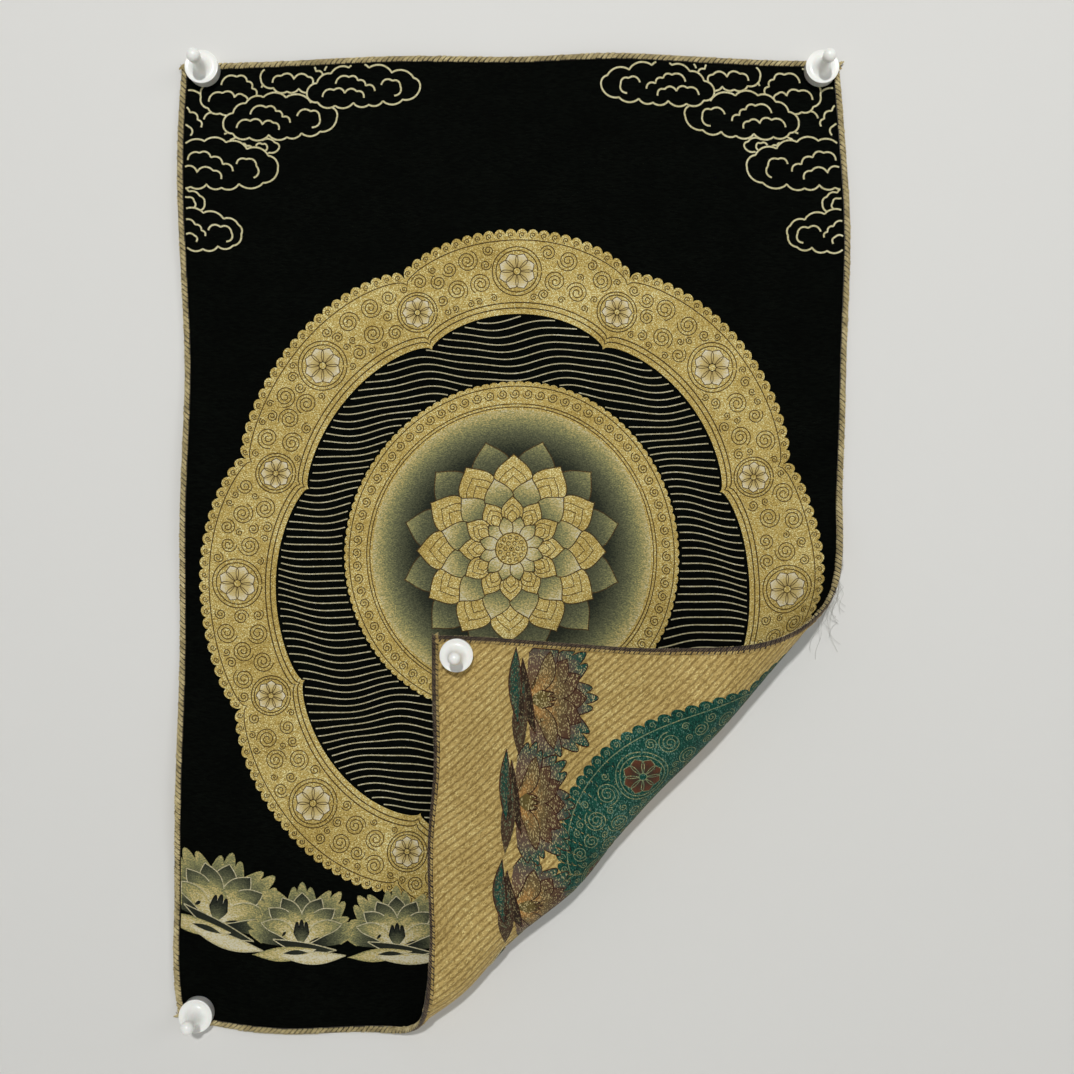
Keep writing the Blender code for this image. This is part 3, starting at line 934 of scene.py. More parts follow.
def squarer(angles):
    towards_fold = (np.cos(angles) > 0.0) & (np.sin(angles) < 0.0)
    return 1.0 + FRAME_SQUARENESS * towards_fold * np.sin(2.0 * angles) ** 2


def frame_line(angles, radius, swell, inset=0.0):
    reach = (radius + swell * lobe(angles) - inset) * squarer(angles)
    return FRAME_CENTRE + np.stack([reach * np.cos(angles), FRAME_STRETCH * reach * np.sin(angles)], -1)


def polar(angles, radius):
    return ROSETTE_CENTRE + np.stack([radius * np.cos(angles), radius * np.sin(angles)], -1)


def cloud_line(cloud, shape, bulge, closed):
    """A scalloped line through a cloud's shares of length and height, its scallops a little uneven."""
    side, height, length, rise = cloud
    shape = np.array(shape)
    uneven = 0.025 * np.sin(5.0 * np.arange(len(shape)) + side)
    across, up = (shape[:, 0] - 1.0 + uneven) * length, (shape[:, 1] - 0.4) * rise
    corners = np.stack([side + across, height + up], -1)
    following = np.roll(corners, -1, axis=0) if closed else corners[1:]
    parts = [bulged(a, b, bulge)[:-1] for a, b in zip(corners, following)]
    return np.concatenate(parts + [corners[:1] if closed else corners[-1:]])


def length_property(name, description, default, low, high):
    return bpy.props.FloatProperty(
        name=name, description=description, default=default, min=low, max=high, unit="LENGTH"
    )


def colour_property(name, description, default):
    return bpy.props.FloatVectorProperty(
        name=name, description=description, default=default, subtype="COLOR", min=0.0, max=1.0
    )


class HangingSettings(bpy.types.PropertyGroup):
    grid: length_property("Cloth grid", "Side of one cell of the cloth's mesh", 0.0020, 0.0015, 0.0060)
    ground_colour: colour_property("Ground", "Satin ground of the front", srgb(3.9, 4.9, 3.6))
    gold_colour: colour_property("Gold", "Gold thread of the front", srgb(208, 182, 104))
    reverse_colour: colour_property("Reverse", "Ribbed gold of the reverse", srgb(199, 171, 104))
    teal_colour: colour_property("Teal", "Reverse of the gold areas", srgb(18, 76, 62))


class EdgeSettings(bpy.types.PropertyGroup):
    pitch: length_property("Stitch pitch", "From one overlock stitch to the next", 0.0023, 0.0008, 0.0040)
    thread_radius: length_property("Thread radius", "Radius of the overlock thread", 0.00037, 0.0001, 0.0010)
    slant: length_property("Stitch slant", "How far a stitch runs along the edge", 0.0024, 0.0, 0.0060)


class PinSettings(bpy.types.PropertyGroup):
    sides: bpy.props.IntProperty(
        name="Sides", description="Divisions round a moulded pin head", default=72, min=24, max=128
    )
    plastic_colour: colour_property("Plastic", "Moulded white plastic", srgb(252, 252, 246))


class HANGING_OT_cloth(bpy.types.Operator):
    """Make the woven panel: satin on its front, slanting gold ribs on its reverse"""

    bl_idname = "hanging.cloth"
    bl_label = "Cloth"

    def execute(self, context):
        settings = context.scene.hanging
        half_width = PANEL_WIDTH / 2.0 - CLOTH_INSET
        top, bottom = PANEL_TOP - CLOTH_INSET, PANEL_BOTTOM + CLOTH_INSET
        columns = round(2.0 * half_width / settings.grid)
        rows = round((top - bottom) / settings.grid)
        sides = np.linspace(-half_width, half_width, columns + 1) / MM
        heights = np.linspace(top, bottom, rows + 1) / MM
        grid = np.stack(np.meshgrid(sides, heights), -1)
        weave = Weave(ground_material(settings), ribbed_material(settings))
        weave.slab(grid, CLOTH_THICKNESS / 2.0 / MM)
        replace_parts(weave.piece("brocade_panel"), "cloth")
        return {"FINISHED"}


class HANGING_OT_clouds(bpy.types.Operator):
    """Weave the outlined clouds of the two top corners"""

    bl_idname = "hanging.clouds"
    bl_label = "Corner clouds"

    def execute(self, context):
        fine = {"thread": 0.00034, "run": 0.0006}
        gold = srgb(176, 166, 116), srgb(214, 206, 162), srgb(236, 230, 196)
        teal = srgb(22, 62, 56), srgb(44, 106, 94), srgb(120, 160, 148)
        weave = Weave(
            thread_material("Pale gold line", *gold, **fine),
            thread_material("Teal line reverse", *teal, **fine),
        )
        outlines = [cloud_line(cloud, CLOUD_OUTLINE, 0.22, True) for cloud in CLOUDS]
        for mirror in (1.0, -1.0):
            for number, (cloud, outline) in enumerate(zip(CLOUDS, outlines)):
                marks = [cloud_line(cloud, mark, -0.30, False) for mark in CLOUD_MARKS]
                for line in [outline] + marks:
                    line = resample(line, 0.7)
                    keep = on_cloth(line)
                    for nearer in outlines[:number]:
                        keep &= ~inside(line, nearer)
                    for run in kept_runs(line, keep):
                        weave.line(run * (mirror, 1.0), CLOUD_LINE, LIFT_LINE - number * CLOUD_STEP)
        weave.piece("corner_clouds")
        return {"FINISHED"}


class HANGING_OT_medallion(bpy.types.Operator):
    """Weave the medallion: a lobed scroll frame, thin waves, a halo and a many-petalled rosette"""

    bl_idname = "hanging.medallion"
    bl_label = "Medallion"

    def execute(self, context):
        gold = gold_materials(context.scene.hanging)
        self.weave_frame(gold)
        self.weave_waves()
        self.weave_rosette(gold)
        return {"FINISHED"}

    def weave_frame(self, gold):
        """The lobed gold frame with its beaded rim and blossoms."""
        fill, lines = Weave(*gold[:2]), Weave(*gold[2:4])
        angles = np.linspace(0.0, 2.0 * math.pi, 8 * RIM_BEADS, endpoint=False)
        rim = beads(angles, RIM_BEADS, RIM_BEAD_RISE)
        outer = frame_line(angles, BAND_OUTER + rim, BAND_OUTER_SWELL)
        inner = frame_line(angles, BAND_INNER, BAND_INNER_SWELL)
        fill.between(outer, inner, LIFT_FILL, BAND_COLUMNS, closed=True)
        for radius, swell, inset, width in (
            (BAND_OUTER, BAND_OUTER_SWELL, FRAME_LINE, 0.42),
            (BAND_INNER, BAND_INNER_SWELL, -FRAME_LINES[0], 0.50),
            (BAND_INNER, BAND_INNER_SWELL, -FRAME_LINES[1], 0.50),
        ):
            lines.line(frame_line(angles[::2], radius, swell, inset), width, LIFT_LINE, closed=True)
        for number in range(RIM_BEADS):
            angle = 2.0 * math.pi * (number + 0.5) / RIM_BEADS
            middle = frame_line(np.array([angle]), BAND_OUTER, BAND_OUTER_SWELL, 0.5)[0]
            lines.line(spiral(middle, 1.5, 1.3, math.degrees(angle) + 170.0, -1), 0.36, LIFT_LINE)
        blossoms = Weave(*blossom_materials())
        places = []
        for number in range(2 * LOBES):
            angle = math.pi * number / LOBES
            places.append(self.band_place(angle, 0.5))
            reach = BLOSSOM_REACHES[number % 2]
            self.weave_blossom(blossoms, lines, places[-1], math.degrees(angle), reach)
        curls = Weave(*gold[2:4])
        self.weave_curls(curls, places)
        fill.piece("medallion_frame")
        lines.piece("medallion_frame_lines")
        curls.piece("medallion_curls")
        blossoms.piece("medallion_blossoms")

    def band_place(self, angle, share):
        """A place in the frame, from its inner lines at 0 to its outer line at 1."""
        swell = float(lobe(np.array(angle)))
        inner = BAND_INNER + BAND_INNER_SWELL * swell + FRAME_LINES[1]
        outer = BAND_OUTER + BAND_OUTER_SWELL * swell - FRAME_LINE
        return frame_line(np.array(angle), inner + (outer - inner) * share, 0.0)

    def weave_blossom(self, weave, lines, middle, turn, reach):
        tone = np.linspace(0.30, 1.0, 10)
        for number in range(BLOSSOM_PETALS):
            angle = math.radians(turn + 360.0 * (number + 0.5) / BLOSSOM_PETALS)
            ahead = np.array((math.cos(angle), math.sin(angle)))
            base, tip = middle + ahead * reach * 0.20, middle + ahead * reach
            left, right = petal_sides(base, tip, reach * 0.66, 0.66, rows=len(tone))
            weave.between(left, right, LIFT_FILL + LIFT_STEP * (1 + number % 2), 2, tone=tone)
            lines.line(np.vstack([left, right[::-1]]), 0.30, LIFT_LINE, closed=True)
        lines.line(arc(middle, reach * 0.20, 0.0, 350.0, 0.5), 0.34, LIFT_LINE)
        for share in (1.12, 1.32):
            lines.line(arc(middle, reach * share, 0.0, 356.0), 0.42, LIFT_LINE)

    def weave_curls(self, curls, blossoms):
        """Curls of falling size that fill the frame between its blossoms and never touch."""
        random = np.random.default_rng(CURL_SEED)
        middles = np.array(blossoms)
        reaches = np.array([BLOSSOM_ROOMS[number % 2] for number in range(len(blossoms))])
        for radius, turns, tries in CURLS:
            rim = (radius + CURL_GAP) / CURL_BAND
            draws = zip(random.uniform(0.0, 2.0 * math.pi, tries), random.uniform(rim, 1.0 - rim, tries))
            for angle, share in draws:
                middle = self.band_place(angle, share)
                apart = np.hypot(*(middles - middle).T) - reaches
                if apart.min() > radius + CURL_GAP:
                    middles, reaches = np.vstack([middles, middle]), np.append(reaches, radius)
                    hand = 1 if random.random() < 0.5 else -1
                    curl = spiral(middle, radius, turns, random.uniform(0.0, 360.0), hand)
                    curls.line(curl, CURL_LINE, LIFT_LINE)

    def weave_waves(self):
        """Thin pale waves on the black between the frame and the halo."""
        pale = srgb(150, 140, 104), srgb(188, 180, 144), srgb(226, 220, 190)
        dark = srgb(60, 40, 28), srgb(92, 66, 44), srgb(150, 120, 80)
        weave = Weave(thread_material("Pale wave line", *pale), thread_material("Dark line reverse", *dark))
        reach = (BAND_INNER + BAND_INNER_SWELL) * (1.0 + FRAME_SQUARENESS)
        for height in np.arange(-reach * FRAME_STRETCH, reach * FRAME_STRETCH, WAVE_PITCH):
            side = np.arange(-reach, reach, 1.1)
            rise = 2.1 * np.sin(side / 10.5 + 0.9 * np.sin(height / 19.0))
            rise = rise + 0.5 * np.sin(side / 4.7 + height / 9.0)
            line = np.stack([side, height + rise], -1)
            stretched = line / (1.0, FRAME_STRETCH)
            angle = np.arctan2(stretched[:, 1], stretched[:, 0])
            inner = (BAND_INNER + BAND_INNER_SWELL * lobe(angle) - 0.8) * squarer(angle)
            keep = np.hypot(*stretched.T) < inner
            line = line + FRAME_CENTRE
            keep &= np.hypot(*(line - ROSETTE_CENTRE).T) > HALO_OUTER + 1.2
            for run in kept_runs(line, keep):
                weave.line(run, WAVE_WIDTH, LIFT_FILL)
        weave.piece("pale_waves")

    def weave_rosette(self, gold):
        """The halo ring and the rosette inside it."""
        fill, lines = Weave(*gold[:2]), Weave(*gold[2:4])
        shaded = Weave(*lotus_materials())
        angles = np.linspace(0.0, 2.0 * math.pi, 720, endpoint=False)
        rim = polar(angles, HALO_OUTER + beads(angles, HALO_BEADS, HALO_BEAD_RISE))
        fill.between(rim, polar(angles, HALO_INNER), LIFT_FILL, 5, closed=True)
        for radius in (HALO_OUTER - 1.4, HALO_INNER + 1.2, HALO_INNER + 2.6):
            lines.line(polar(angles, radius), 0.40, LIFT_LINE, closed=True)
        for number in range(HALO_CURLS):
            angle = 2.0 * math.pi * number / HALO_CURLS
            middle = polar(angle, HALO_OUTER - 4.7)
            lines.line(spiral(middle, 2.4, 1.7, math.degrees(angle) + 90.0, 1), CURL_LINE, LIFT_LINE)
        radii = np.linspace(HALO_INNER, ROSETTE_REACH - 16.0, 15)
        rings = np.stack([polar(angles[::2], radius) for radius in radii], 1)
        tone = np.broadcast_to(0.80 * np.linspace(1.0, 0.0, 15) ** 1.3, rings.shape[:2])
        shaded.slab(rings, LIFT_FILL, tone=tone, closed=True)
        self.weave_rings_of_petals(fill, shaded, lines)
        level = LIFT_FILL + 11 * LIFT_STEP
        fill.between(polar(angles[::8], ROSETTE_HEART), polar(angles[::8], 0.4), level, 5, closed=True)
        lines.line(polar(angles[::8], ROSETTE_HEART - 0.4), 0.45, level + LIFT_STEP / 2.0, closed=True)
        for radius, seeds in ((0.0, 1), (2.8, 6), (5.3, 11)):
            for number in range(seeds):
                middle = polar(2.0 * math.pi * number / seeds, radius)
                lines.line(arc(middle, 0.85, 0.0, 340.0, 0.5), 0.34, level + LIFT_STEP / 2.0)
        fill.piece("rosette_gold")
        lines.piece("rosette_lines")
        shaded.piece("rosette_shaded")

    def weave_rings_of_petals(self, fill, shaded, lines):
        """Five rings of petals, each over the one outside it."""
        # Columns are where a petal starts and ends, its width, its turn in petals, and its tones if shaded
        rings = (
            (24.0, ROSETTE_REACH, 18.0, 0.5, (0.10, 0.74)),
            (20.0, ROSETTE_REACH - 7.0, 17.5, 0.0, None),
            (12.0, 33.0, 13.5, 0.5, (0.30, 1.00)),
            (9.0, 24.0, 10.0, 0.0, None),
            (5.0, 15.0, 6.2, 0.5, (1.00, 0.55)),
        )
        for layer, (inner, outer, width, shift, tones) in enumerate(rings):
            for number in range(ROSETTE_PETALS):
                angle = 2.0 * math.pi * (number + shift) / ROSETTE_PETALS
                lift = LIFT_FILL + LIFT_STEP * (2 * layer + number % 2 + 0.6)
                rows = 22 if layer < 2 else 14
                left, right = petal_sides(polar(angle, inner), polar(angle, outer), width, 0.54, rows=rows)
                columns = 6 if layer < 2 else 4
                if tones:
                    shaded.between(left, right, lift, columns, tone=np.linspace(*tones, rows))
                else:
                    fill.between(left, right, lift, columns)
                above = lift + 0.35 * LIFT_STEP
                lines.line(np.vstack([left, right[::-1]]), 0.46, above, closed=True)
                for share in () if tones else (0.72, 0.44):
                    tip = polar(angle, inner + (outer - inner) * (0.30 + 0.62 * share))
                    left, right = petal_sides(polar(angle, inner + 3.0), tip, width * share)
                    lines.line(np.vstack([left, right[::-1]]), 0.34, above)


class HANGING_OT_lotus_row(bpy.types.Operator):
    """Weave the row of lotus flowers along the foot"""

    bl_idname = "hanging.lotus_row"
    bl_label = "Lotus row"

    def execute(self, context):
        self.shaded = Weave(*lotus_materials())
        self.lines = Weave(*lotus_line_materials())
        for number, row in enumerate(LOTUSES):
            self.weave_lotus(number, *row)
        self.shaded.piece("lotus_row")
        self.lines.piece("lotus_row_lines")
        return {"FINISHED"}

    def weave_lotus(self, number, side, height, size, turn):
        """One flower: a toothed fan behind, open petals round a dark heart, and leaves that lie under it."""
        angle = math.radians(turn)
        turned = size * np.array(((math.cos(angle), math.sin(angle)), (-math.sin(angle), math.cos(angle))))
        level = LIFT_LOTUS + LOTUS_STAGGER * (number % 2)
        for colour, base, tip, width, lean, base_tone, tip_tone, toothed, outlined, twin in LOTUS_PETALS:
            for hand in (1.0, -1.0) if twin else (1.0,):
                level += LOTUS_STEP * (0.5 if twin else 1.0)
                ends = np.array((base, tip)) * (hand, 1.0) @ turned + (side, height)
                rows = max(8, int(np.hypot(*(ends[1] - ends[0])) / 1.1))
                if toothed:
                    notch = HEART_NOTCH if colour == "heart" else PETAL_NOTCH
                    grid = toothed_petal(*ends, width * size, rows, lean * size * hand, notch)
                else:
                    foot, fullness = (LEAF_FOOT, 2.0) if colour == "leaf" else (PETAL_FOOT, PETAL_FULLNESS)
                    bend = lean * size * hand
                    left, right = petal_sides(*ends, width * size, 0.50, foot, rows, bend, fullness)
                    share = np.linspace(0.0, 1.0, 7)[None, :, None]
                    grid = left[:, None] * (1.0 - share) + right[:, None] * share
                grid[..., 0] = np.clip(grid[..., 0], -PATTERN_SIDE, PATTERN_SIDE)
                across = 1.0 - 0.22 * np.abs(np.linspace(-1.0, 1.0, grid.shape[1])) ** 3
                tone = np.linspace(base_tone, tip_tone, len(grid))[:, None] * across[None]
                self.shaded.slab(grid, level, (0, LOTUS_REVERSES[colour]), tone)
                if outlined:
                    outline = resample(np.vstack([grid[:, 0], grid[::-1, -1]]), 0.8)
                    self.lines.line(outline, 0.44, level + LOTUS_STEP / 3.0, closed=True)
                elif toothed:
                    self.shaded.line(grid[-1], 0.50, level + LOTUS_STEP / 3.0, (0, 5), tone=tip_tone * 0.9)


def once(maker):
    """Build a set of materials at its first use, and give the same ones from then on."""
    kept = []

    def made(*values):
        if not kept:
            kept.append(maker(*values))
        return kept[0]

    return made


@once
def gold_materials(settings):
    """Gold and its teal reverse, then the dark line on gold and its light reverse."""
    # The last colour of each thread is the bright one, painted on a share of threads as glints.
    gold = srgb(144, 118, 54), settings.gold_colour, srgb(255, 247, 186)
    teal = srgb(6, 34, 28), settings.teal_colour, srgb(104, 142, 126)
    dark = srgb(44, 32, 14), srgb(74, 56, 28), srgb(126, 100, 54)
    pale = srgb(70, 100, 80), srgb(126, 140, 104), srgb(196, 186, 130)
    return (
        thread_material("Gold weft", *gold, share=0.19, thread=0.00034, run=0.00045, metallic=0.25),
        thread_material("Teal weft reverse", *teal, share=0.14),
        thread_material("Dark line on gold", *dark, thread=0.0004, run=0.0006),
        thread_material("Pale line on teal", *pale, thread=0.0004, run=0.0006),
    )


@once
def blossom_materials():
    cream = ((0.0, 120, 96, 50), (0.55, 206, 184, 118), (1.0, 232, 226, 204))
    rust = ((0.0, 30, 60, 52), (0.55, 74, 48, 34), (1.0, 108, 62, 40))
    return shaded_material("Cream blossom weft", cream), shaded_material("Rust blossom reverse", rust)


@once
def lotus_materials():
    """The shaded weft, and its reverse on back petals, on petals, in the heart and on leaves."""
    front = (
        (0.00, 12, 14, 12),
        (0.22, 42, 46, 34),
        (0.46, 94, 96, 70),
        (0.66, 146, 144, 96),
        (0.80, 204, 182, 114),
        (0.90, 204, 198, 160),
        (1.00, 218, 211, 184),
    )
    back = ((0.00, 112, 88, 50), (0.30, 104, 80, 66), (0.56, 88, 80, 70), (0.63, 18, 76, 64))
    petal = ((0.00, 46, 24, 18), (0.35, 88, 62, 46), (0.70, 108, 92, 58), (1.00, 196, 142, 76))
    heart = ((0.00, 66, 46, 26), (0.24, 108, 92, 48), (0.60, 84, 76, 42))
    leaf = ((0.00, 40, 28, 20), (0.62, 66, 50, 36), (0.88, 78, 60, 44), (0.90, 16, 72, 60))
    return (
        shaded_material("Shaded lotus weft", front),
        shaded_material("Shaded back petal reverse", back, 0.5, 0.6),
        shaded_material("Shaded petal reverse", petal, 0.5, 0.6),
        shaded_material("Shaded heart reverse", heart, 0.5, 0.9),
        shaded_material("Shaded leaf reverse", leaf, 0.2, 0.25),
        lotus_line_materials()[1],
    )


LOTUS_REVERSES = {"back": 1, "petal": 2, "heart": 3, "leaf": 4}


@once
def lotus_line_materials():
    cream = srgb(150, 142, 104), srgb(200, 191, 152), srgb(230, 223, 192)
    rust = srgb(30, 14, 12), srgb(58, 26, 18), srgb(118, 76, 50)
    return (
        thread_material("Cream outline", *cream, run=0.0006),
        thread_material("Rust outline reverse", *rust, run=0.0006),
    )


# The overlocked edge
BAND_FLAT = 0.45  # how much of the band's width is flat
THREAD_TWIST = 0.0009
# Sewing threads: columns are the name, and the dark, middle and bright colours
EDGE_THREADS = (
    ("Khaki", (140, 126, 84), (192, 174, 123), (226, 213, 166)),
    ("Brown", (22, 18, 12), (38, 30, 22), (62, 52, 36)),
    ("Maroon", (26, 18, 15), (42, 30, 24), (62, 48, 36)),
    ("Pale", (84, 66, 48), (116, 98, 72), (156, 138, 106)),
    ("Gold", (140, 116, 66), (180, 154, 92), (212, 190, 124)),
)
# Each edge's outward direction, and its two ends in half widths and half heights, clockwise round the panel
EDGE_SIDES = {
    "left": ((-1.0, 0.0), (-1.0, -1.0), (-1.0, 1.0)),
    "top": ((0.0, 1.0), (-1.0, 1.0), (1.0, 1.0)),
    "right": ((1.0, 0.0), (1.0, 1.0), (1.0, -1.0)),
    "bottom": ((0.0, -1.0), (1.0, -1.0), (-1.0, -1.0)),
}


def band_section():
    """The band's half-round section: columns are how far out from its inner side, and towards the front."""
    half = BAND_THICKNESS / 2.0
    round_part = [
        (BAND_WIDTH * (BAND_FLAT + (1.0 - BAND_FLAT) * math.sin(turn)), half * math.cos(turn))
        for turn in np.linspace(0.0, math.pi, 9)
    ]
    return np.array([(0.0, half * 0.82)] + round_part + [(0.0, -half * 0.82)])


def edge_path(edge, inset, step):
    """Flat places along one edge of the cut panel, in metres, and its outward direction."""
    outward, first, last = EDGE_SIDES[edge]
    half = PANEL_WIDTH / 2.0, PANEL_HEIGHT / 2.0
    middle = np.array((0.0, (PANEL_TOP + PANEL_BOTTOM) / 2.0))
    start = middle + np.array(first) * half
    end = middle + np.array(last) * half
    direction = (end - start) / np.hypot(*(end - start))
    outward = np.array(outward)
    if edge in ("left", "right"):
        start, end = start + direction * CLOTH_INSET, end - direction * CLOTH_INSET
    count = int(round(np.hypot(*(end - start)) / step)) + 1
    share = np.linspace(0.0, 1.0, count)[:, None]
    return start + share * (end - start) - outward * inset, outward


def stitch_tree():
    """Overlock stitches along an edge: bent lengths of thread, one at each pitch, laid across the path."""
    tree, given, result = new_group(
        "Overlock stitches",
        (
            ("Edge", "Geometry", None),
            ("Pitch", "Float", 0.00125),
            ("Inner end", "Float", -0.0012),
            ("Outer end", "Float", 0.0012),
            ("Slant", "Float", 0.0015),
            ("Foot", "Float", 0.0004),
            ("Crown", "Float", 0.0011),
            ("Thread radius", "Float", 0.00035),
            ("Strand gap", "Float", 0.0009),
            ("Seed", "Int", 7),
            ("Thread", "Material", None),
        ),
        (("Stitches", "Geometry"),),
        "GeometryNodeTree",
    )

    def made(kind, inputs, **settings):
        return add_node(tree, kind, inputs, **settings).outputs[0]

    def point(along, out, up):
        return made("ShaderNodeCombineXYZ", {0: along, 1: out, 2: up})

    path = made("GeometryNodeMeshToCurve", {"Mesh": given["Edge"]})
    points = add_node(
        tree, "GeometryNodeCurveToPoints", {"Curve": path, "Length": given["Pitch"]}, mode="LENGTH"
    ).outputs
    face = made("GeometryNodeInputNamedAttribute", {"Name": "face"}, data_type="FLOAT_VECTOR")
    turn = made(
        "FunctionNodeAxesToRotation",
        {"Primary Axis": face, "Secondary Axis": points["Tangent"]},
        primary_axis="Z",
        secondary_axis="X",
    )
    middle = times(tree, plus(tree, given["Inner end"], given["Outer end"]), 0.5)
    thread = made(
        "GeometryNodeCurveQuadraticBezier",
        {
            "Resolution": 4,
            "Start": point(times(tree, given["Slant"], -0.5), given["Inner end"], given["Foot"]),
            "Middle": point(0.0, middle, given["Crown"]),
            "End": point(
                times(tree, given["Slant"], 0.5), given["Outer end"], times(tree, given["Foot"], 0.2)
            ),
        },
    )
    ring = made("GeometryNodeCurvePrimitiveCircle", {"Resolution": 5, "Radius": given["Thread radius"]})
    stitch = made("GeometryNodeCurveToMesh", {"Curve": thread, "Profile Curve": ring, "Fill Caps": True})
    aside = point(given["Strand gap"], 0.0, 0.0)
    beside = made("GeometryNodeTransform", {"Geometry": stitch, "Translation": aside})
    pair = add_node(tree, "GeometryNodeJoinGeometry")
    for strand in (stitch, beside):
        tree.links.new(strand, pair.inputs[0])
    loose = made(
        "FunctionNodeRandomValue",
        {0: (0.90, 0.86, 0.90), 1: (1.10, 1.10, 1.12), "Seed": given["Seed"]},
        data_type="FLOAT_VECTOR",
    )
    laid = made(
        "GeometryNodeInstanceOnPoints",
        {"Points": points["Points"], "Instance": pair.outputs[0], "Rotation": turn, "Scale": loose},
    )
    whole = made("GeometryNodeRealizeInstances", {0: laid})
    smooth = made("GeometryNodeSetShadeSmooth", {"Geometry": whole})
    covered = made("GeometryNodeSetMaterial", {"Geometry": smooth, "Material": given["Thread"]})
    tree.links.new(covered, result["Stitches"])
    return tree


def edge_thread_material(name, dark, middle, bright):
    """Spun sewing thread, with a fine twist and uneven colour."""
    material, tree, shader = new_material(name, specular_ior_level=0.3, sheen_weight=0.1)
    place = object_place(tree)
    fine, wide = noise(tree, place, 2600.0, 2.0), noise(tree, place, 240.0, 3.0)
    twist = {"Vector": place, "Scale": 0.5 / THREAD_TWIST, "Distortion": 4.0}
    waves = add_node(tree, "ShaderNodeTexWave", twist, bands_direction="DIAGONAL").outputs["Fac"]
    value = plus(tree, times(tree, fine, 0.5), times(tree, wide, 0.5))
    body = mix_colour(tree, rescale(tree, value, 0.38, 0.52), srgb(*dark), srgb(*middle))
    body = mix_colour(tree, rescale(tree, value, 0.52, 0.66), body, srgb(*bright))
    tree.links.new(body, shader.inputs["Base Color"])
    shader.inputs["Roughness"].default_value = 0.72
    bump(tree, shader, plus(tree, waves, fine), 0.00006)
    return material


class HANGING_OT_edge_thread(bpy.types.Operator):
    """Overlock the four edges: a band of thread wrapped in slanting stitches"""

    bl_idname = "hanging.edge_thread"
    bl_label = "Overlocked edge"

    def execute(self, context):
        settings = context.scene.hanging_edge
        khaki, brown, maroon, pale, gold = (
            edge_thread_material(name + " edge thread", *shades) for name, *shades in EDGE_THREADS
        )
        for edge in EDGE_SIDES:
            self.make_band(edge, brown, maroon)
        guide = self.make_guide()
        tree = stitch_tree()
        half = BAND_THICKNESS / 2.0
        # Columns are the piece, its thread and seed, its thread's radius for the setting's, the ends of a
        # stitch across the band, its slant for the setting's, and the heights of its foot and crown
        for name, thread, seed, share, inner, outer, slant, foot, crown in (
            ("edge_stitches_front", khaki, 7, 1.0, -0.00125, 0.00125, 1.0, half - 0.0002, half + 0.0007),
            ("edge_stitches_reverse", pale, 11, 0.36, -0.0004, 0.00125, -0.7, 0.0001 - half, -half - 0.0005),
            ("edge_teeth_reverse", gold, 13, 0.96, -0.00160, -0.0002, -0.4, 0.0001 - half, -half - 0.0004),
        ):
            sizes = {
                "Pitch": settings.pitch,
                "Inner end": inner,
                "Outer end": outer,
                "Slant": settings.slant * slant,
                "Foot": foot,
                "Crown": crown,
                "Thread radius": settings.thread_radius * share,
                "Seed": seed,
                "Thread": thread,
            }
            new_piece(name, mesh_from_nodes(name, guide, tree, sizes))
        return {"FINISHED"}

    def make_band(self, edge, front, reverse):
        """The wrapped band under the stitches, along one edge."""
        section = band_section()
        path, outward = edge_path(edge, BAND_WIDTH, 0.0015)
        flat = path[:, None] + section[None, :, 0, None] * outward
        points = hang(flat, np.broadcast_to(section[None, :, 1], flat.shape[:2]))
        rows, columns = points.shape[:2]
        index = np.arange(rows * columns).reshape(rows, columns)
        around = np.roll(index, -1, axis=1)
        quads = np.stack([index[:-1], around[:-1], around[1:], index[1:]], -1).reshape(-1, 4).tolist()
        quads += [index[0][::-1].tolist(), index[-1].tolist()]
        slots = np.tile((np.arange(columns) > columns // 2).astype(int), rows - 1).tolist() + [0, 0]
        name = "edge_band_" + edge
        mesh = new_mesh(name, points.reshape(-1, 3), quads, (front, reverse), slots, 50.0, True)
        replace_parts(new_piece(name, mesh), "edge_thread_" + edge)

    def make_guide(self):
        """Paths along the middle of the band, each point knowing the way the cloth's front faces there."""
        points, edges, faces = [], [], []
        for edge in EDGE_SIDES:
            path, _ = edge_path(edge, BAND_WIDTH / 2.0, 0.001)
            middle = hang(path)
            ahead = hang(path, 0.001) - middle
            start = len(points)
            points += middle.tolist()
            faces += (ahead / np.linalg.norm(ahead, axis=1)[:, None]).tolist()
            edges += [(start + step, start + step + 1) for step in range(len(middle) - 1)]
        mesh = bpy.data.meshes.new("edge_guide")
        mesh.from_pydata(points, edges, [])
        attribute = mesh.attributes.new("face", "FLOAT_VECTOR", "POINT")
        attribute.data.foreach_set("vector", np.array(faces, np.float32).ravel())
        return mesh


def mesh_from_nodes(name, guide, tree, sizes):
    """The plain mesh that a Geometry Nodes tree makes from a guide, its inputs set by their identifiers."""
    holder = bpy.data.objects.new("guide_" + name, guide)
    modifier = holder.modifiers.new("Stitches", "NODES")
    modifier.node_group = tree
    for item in tree.interface.items_tree:
        if item.in_out == "INPUT" and item.name in sizes:
            modifier[item.identifier] = sizes[item.name]
    bpy.context.scene.collection.objects.link(holder)
    bpy.context.view_layer.update()
    mesh = bpy.data.meshes.new_from_object(holder.evaluated_get(bpy.context.evaluated_depsgraph_get()))
    bpy.data.objects.remove(holder, do_unlink=True)
    mesh.name = name
    face_outwards(mesh)
    return mesh


def face_outwards(mesh):
    work = bmesh.new()
    work.from_mesh(mesh)
    bmesh.ops.recalc_face_normals(work, faces=work.faces)
    work.to_mesh(mesh)
    work.free()


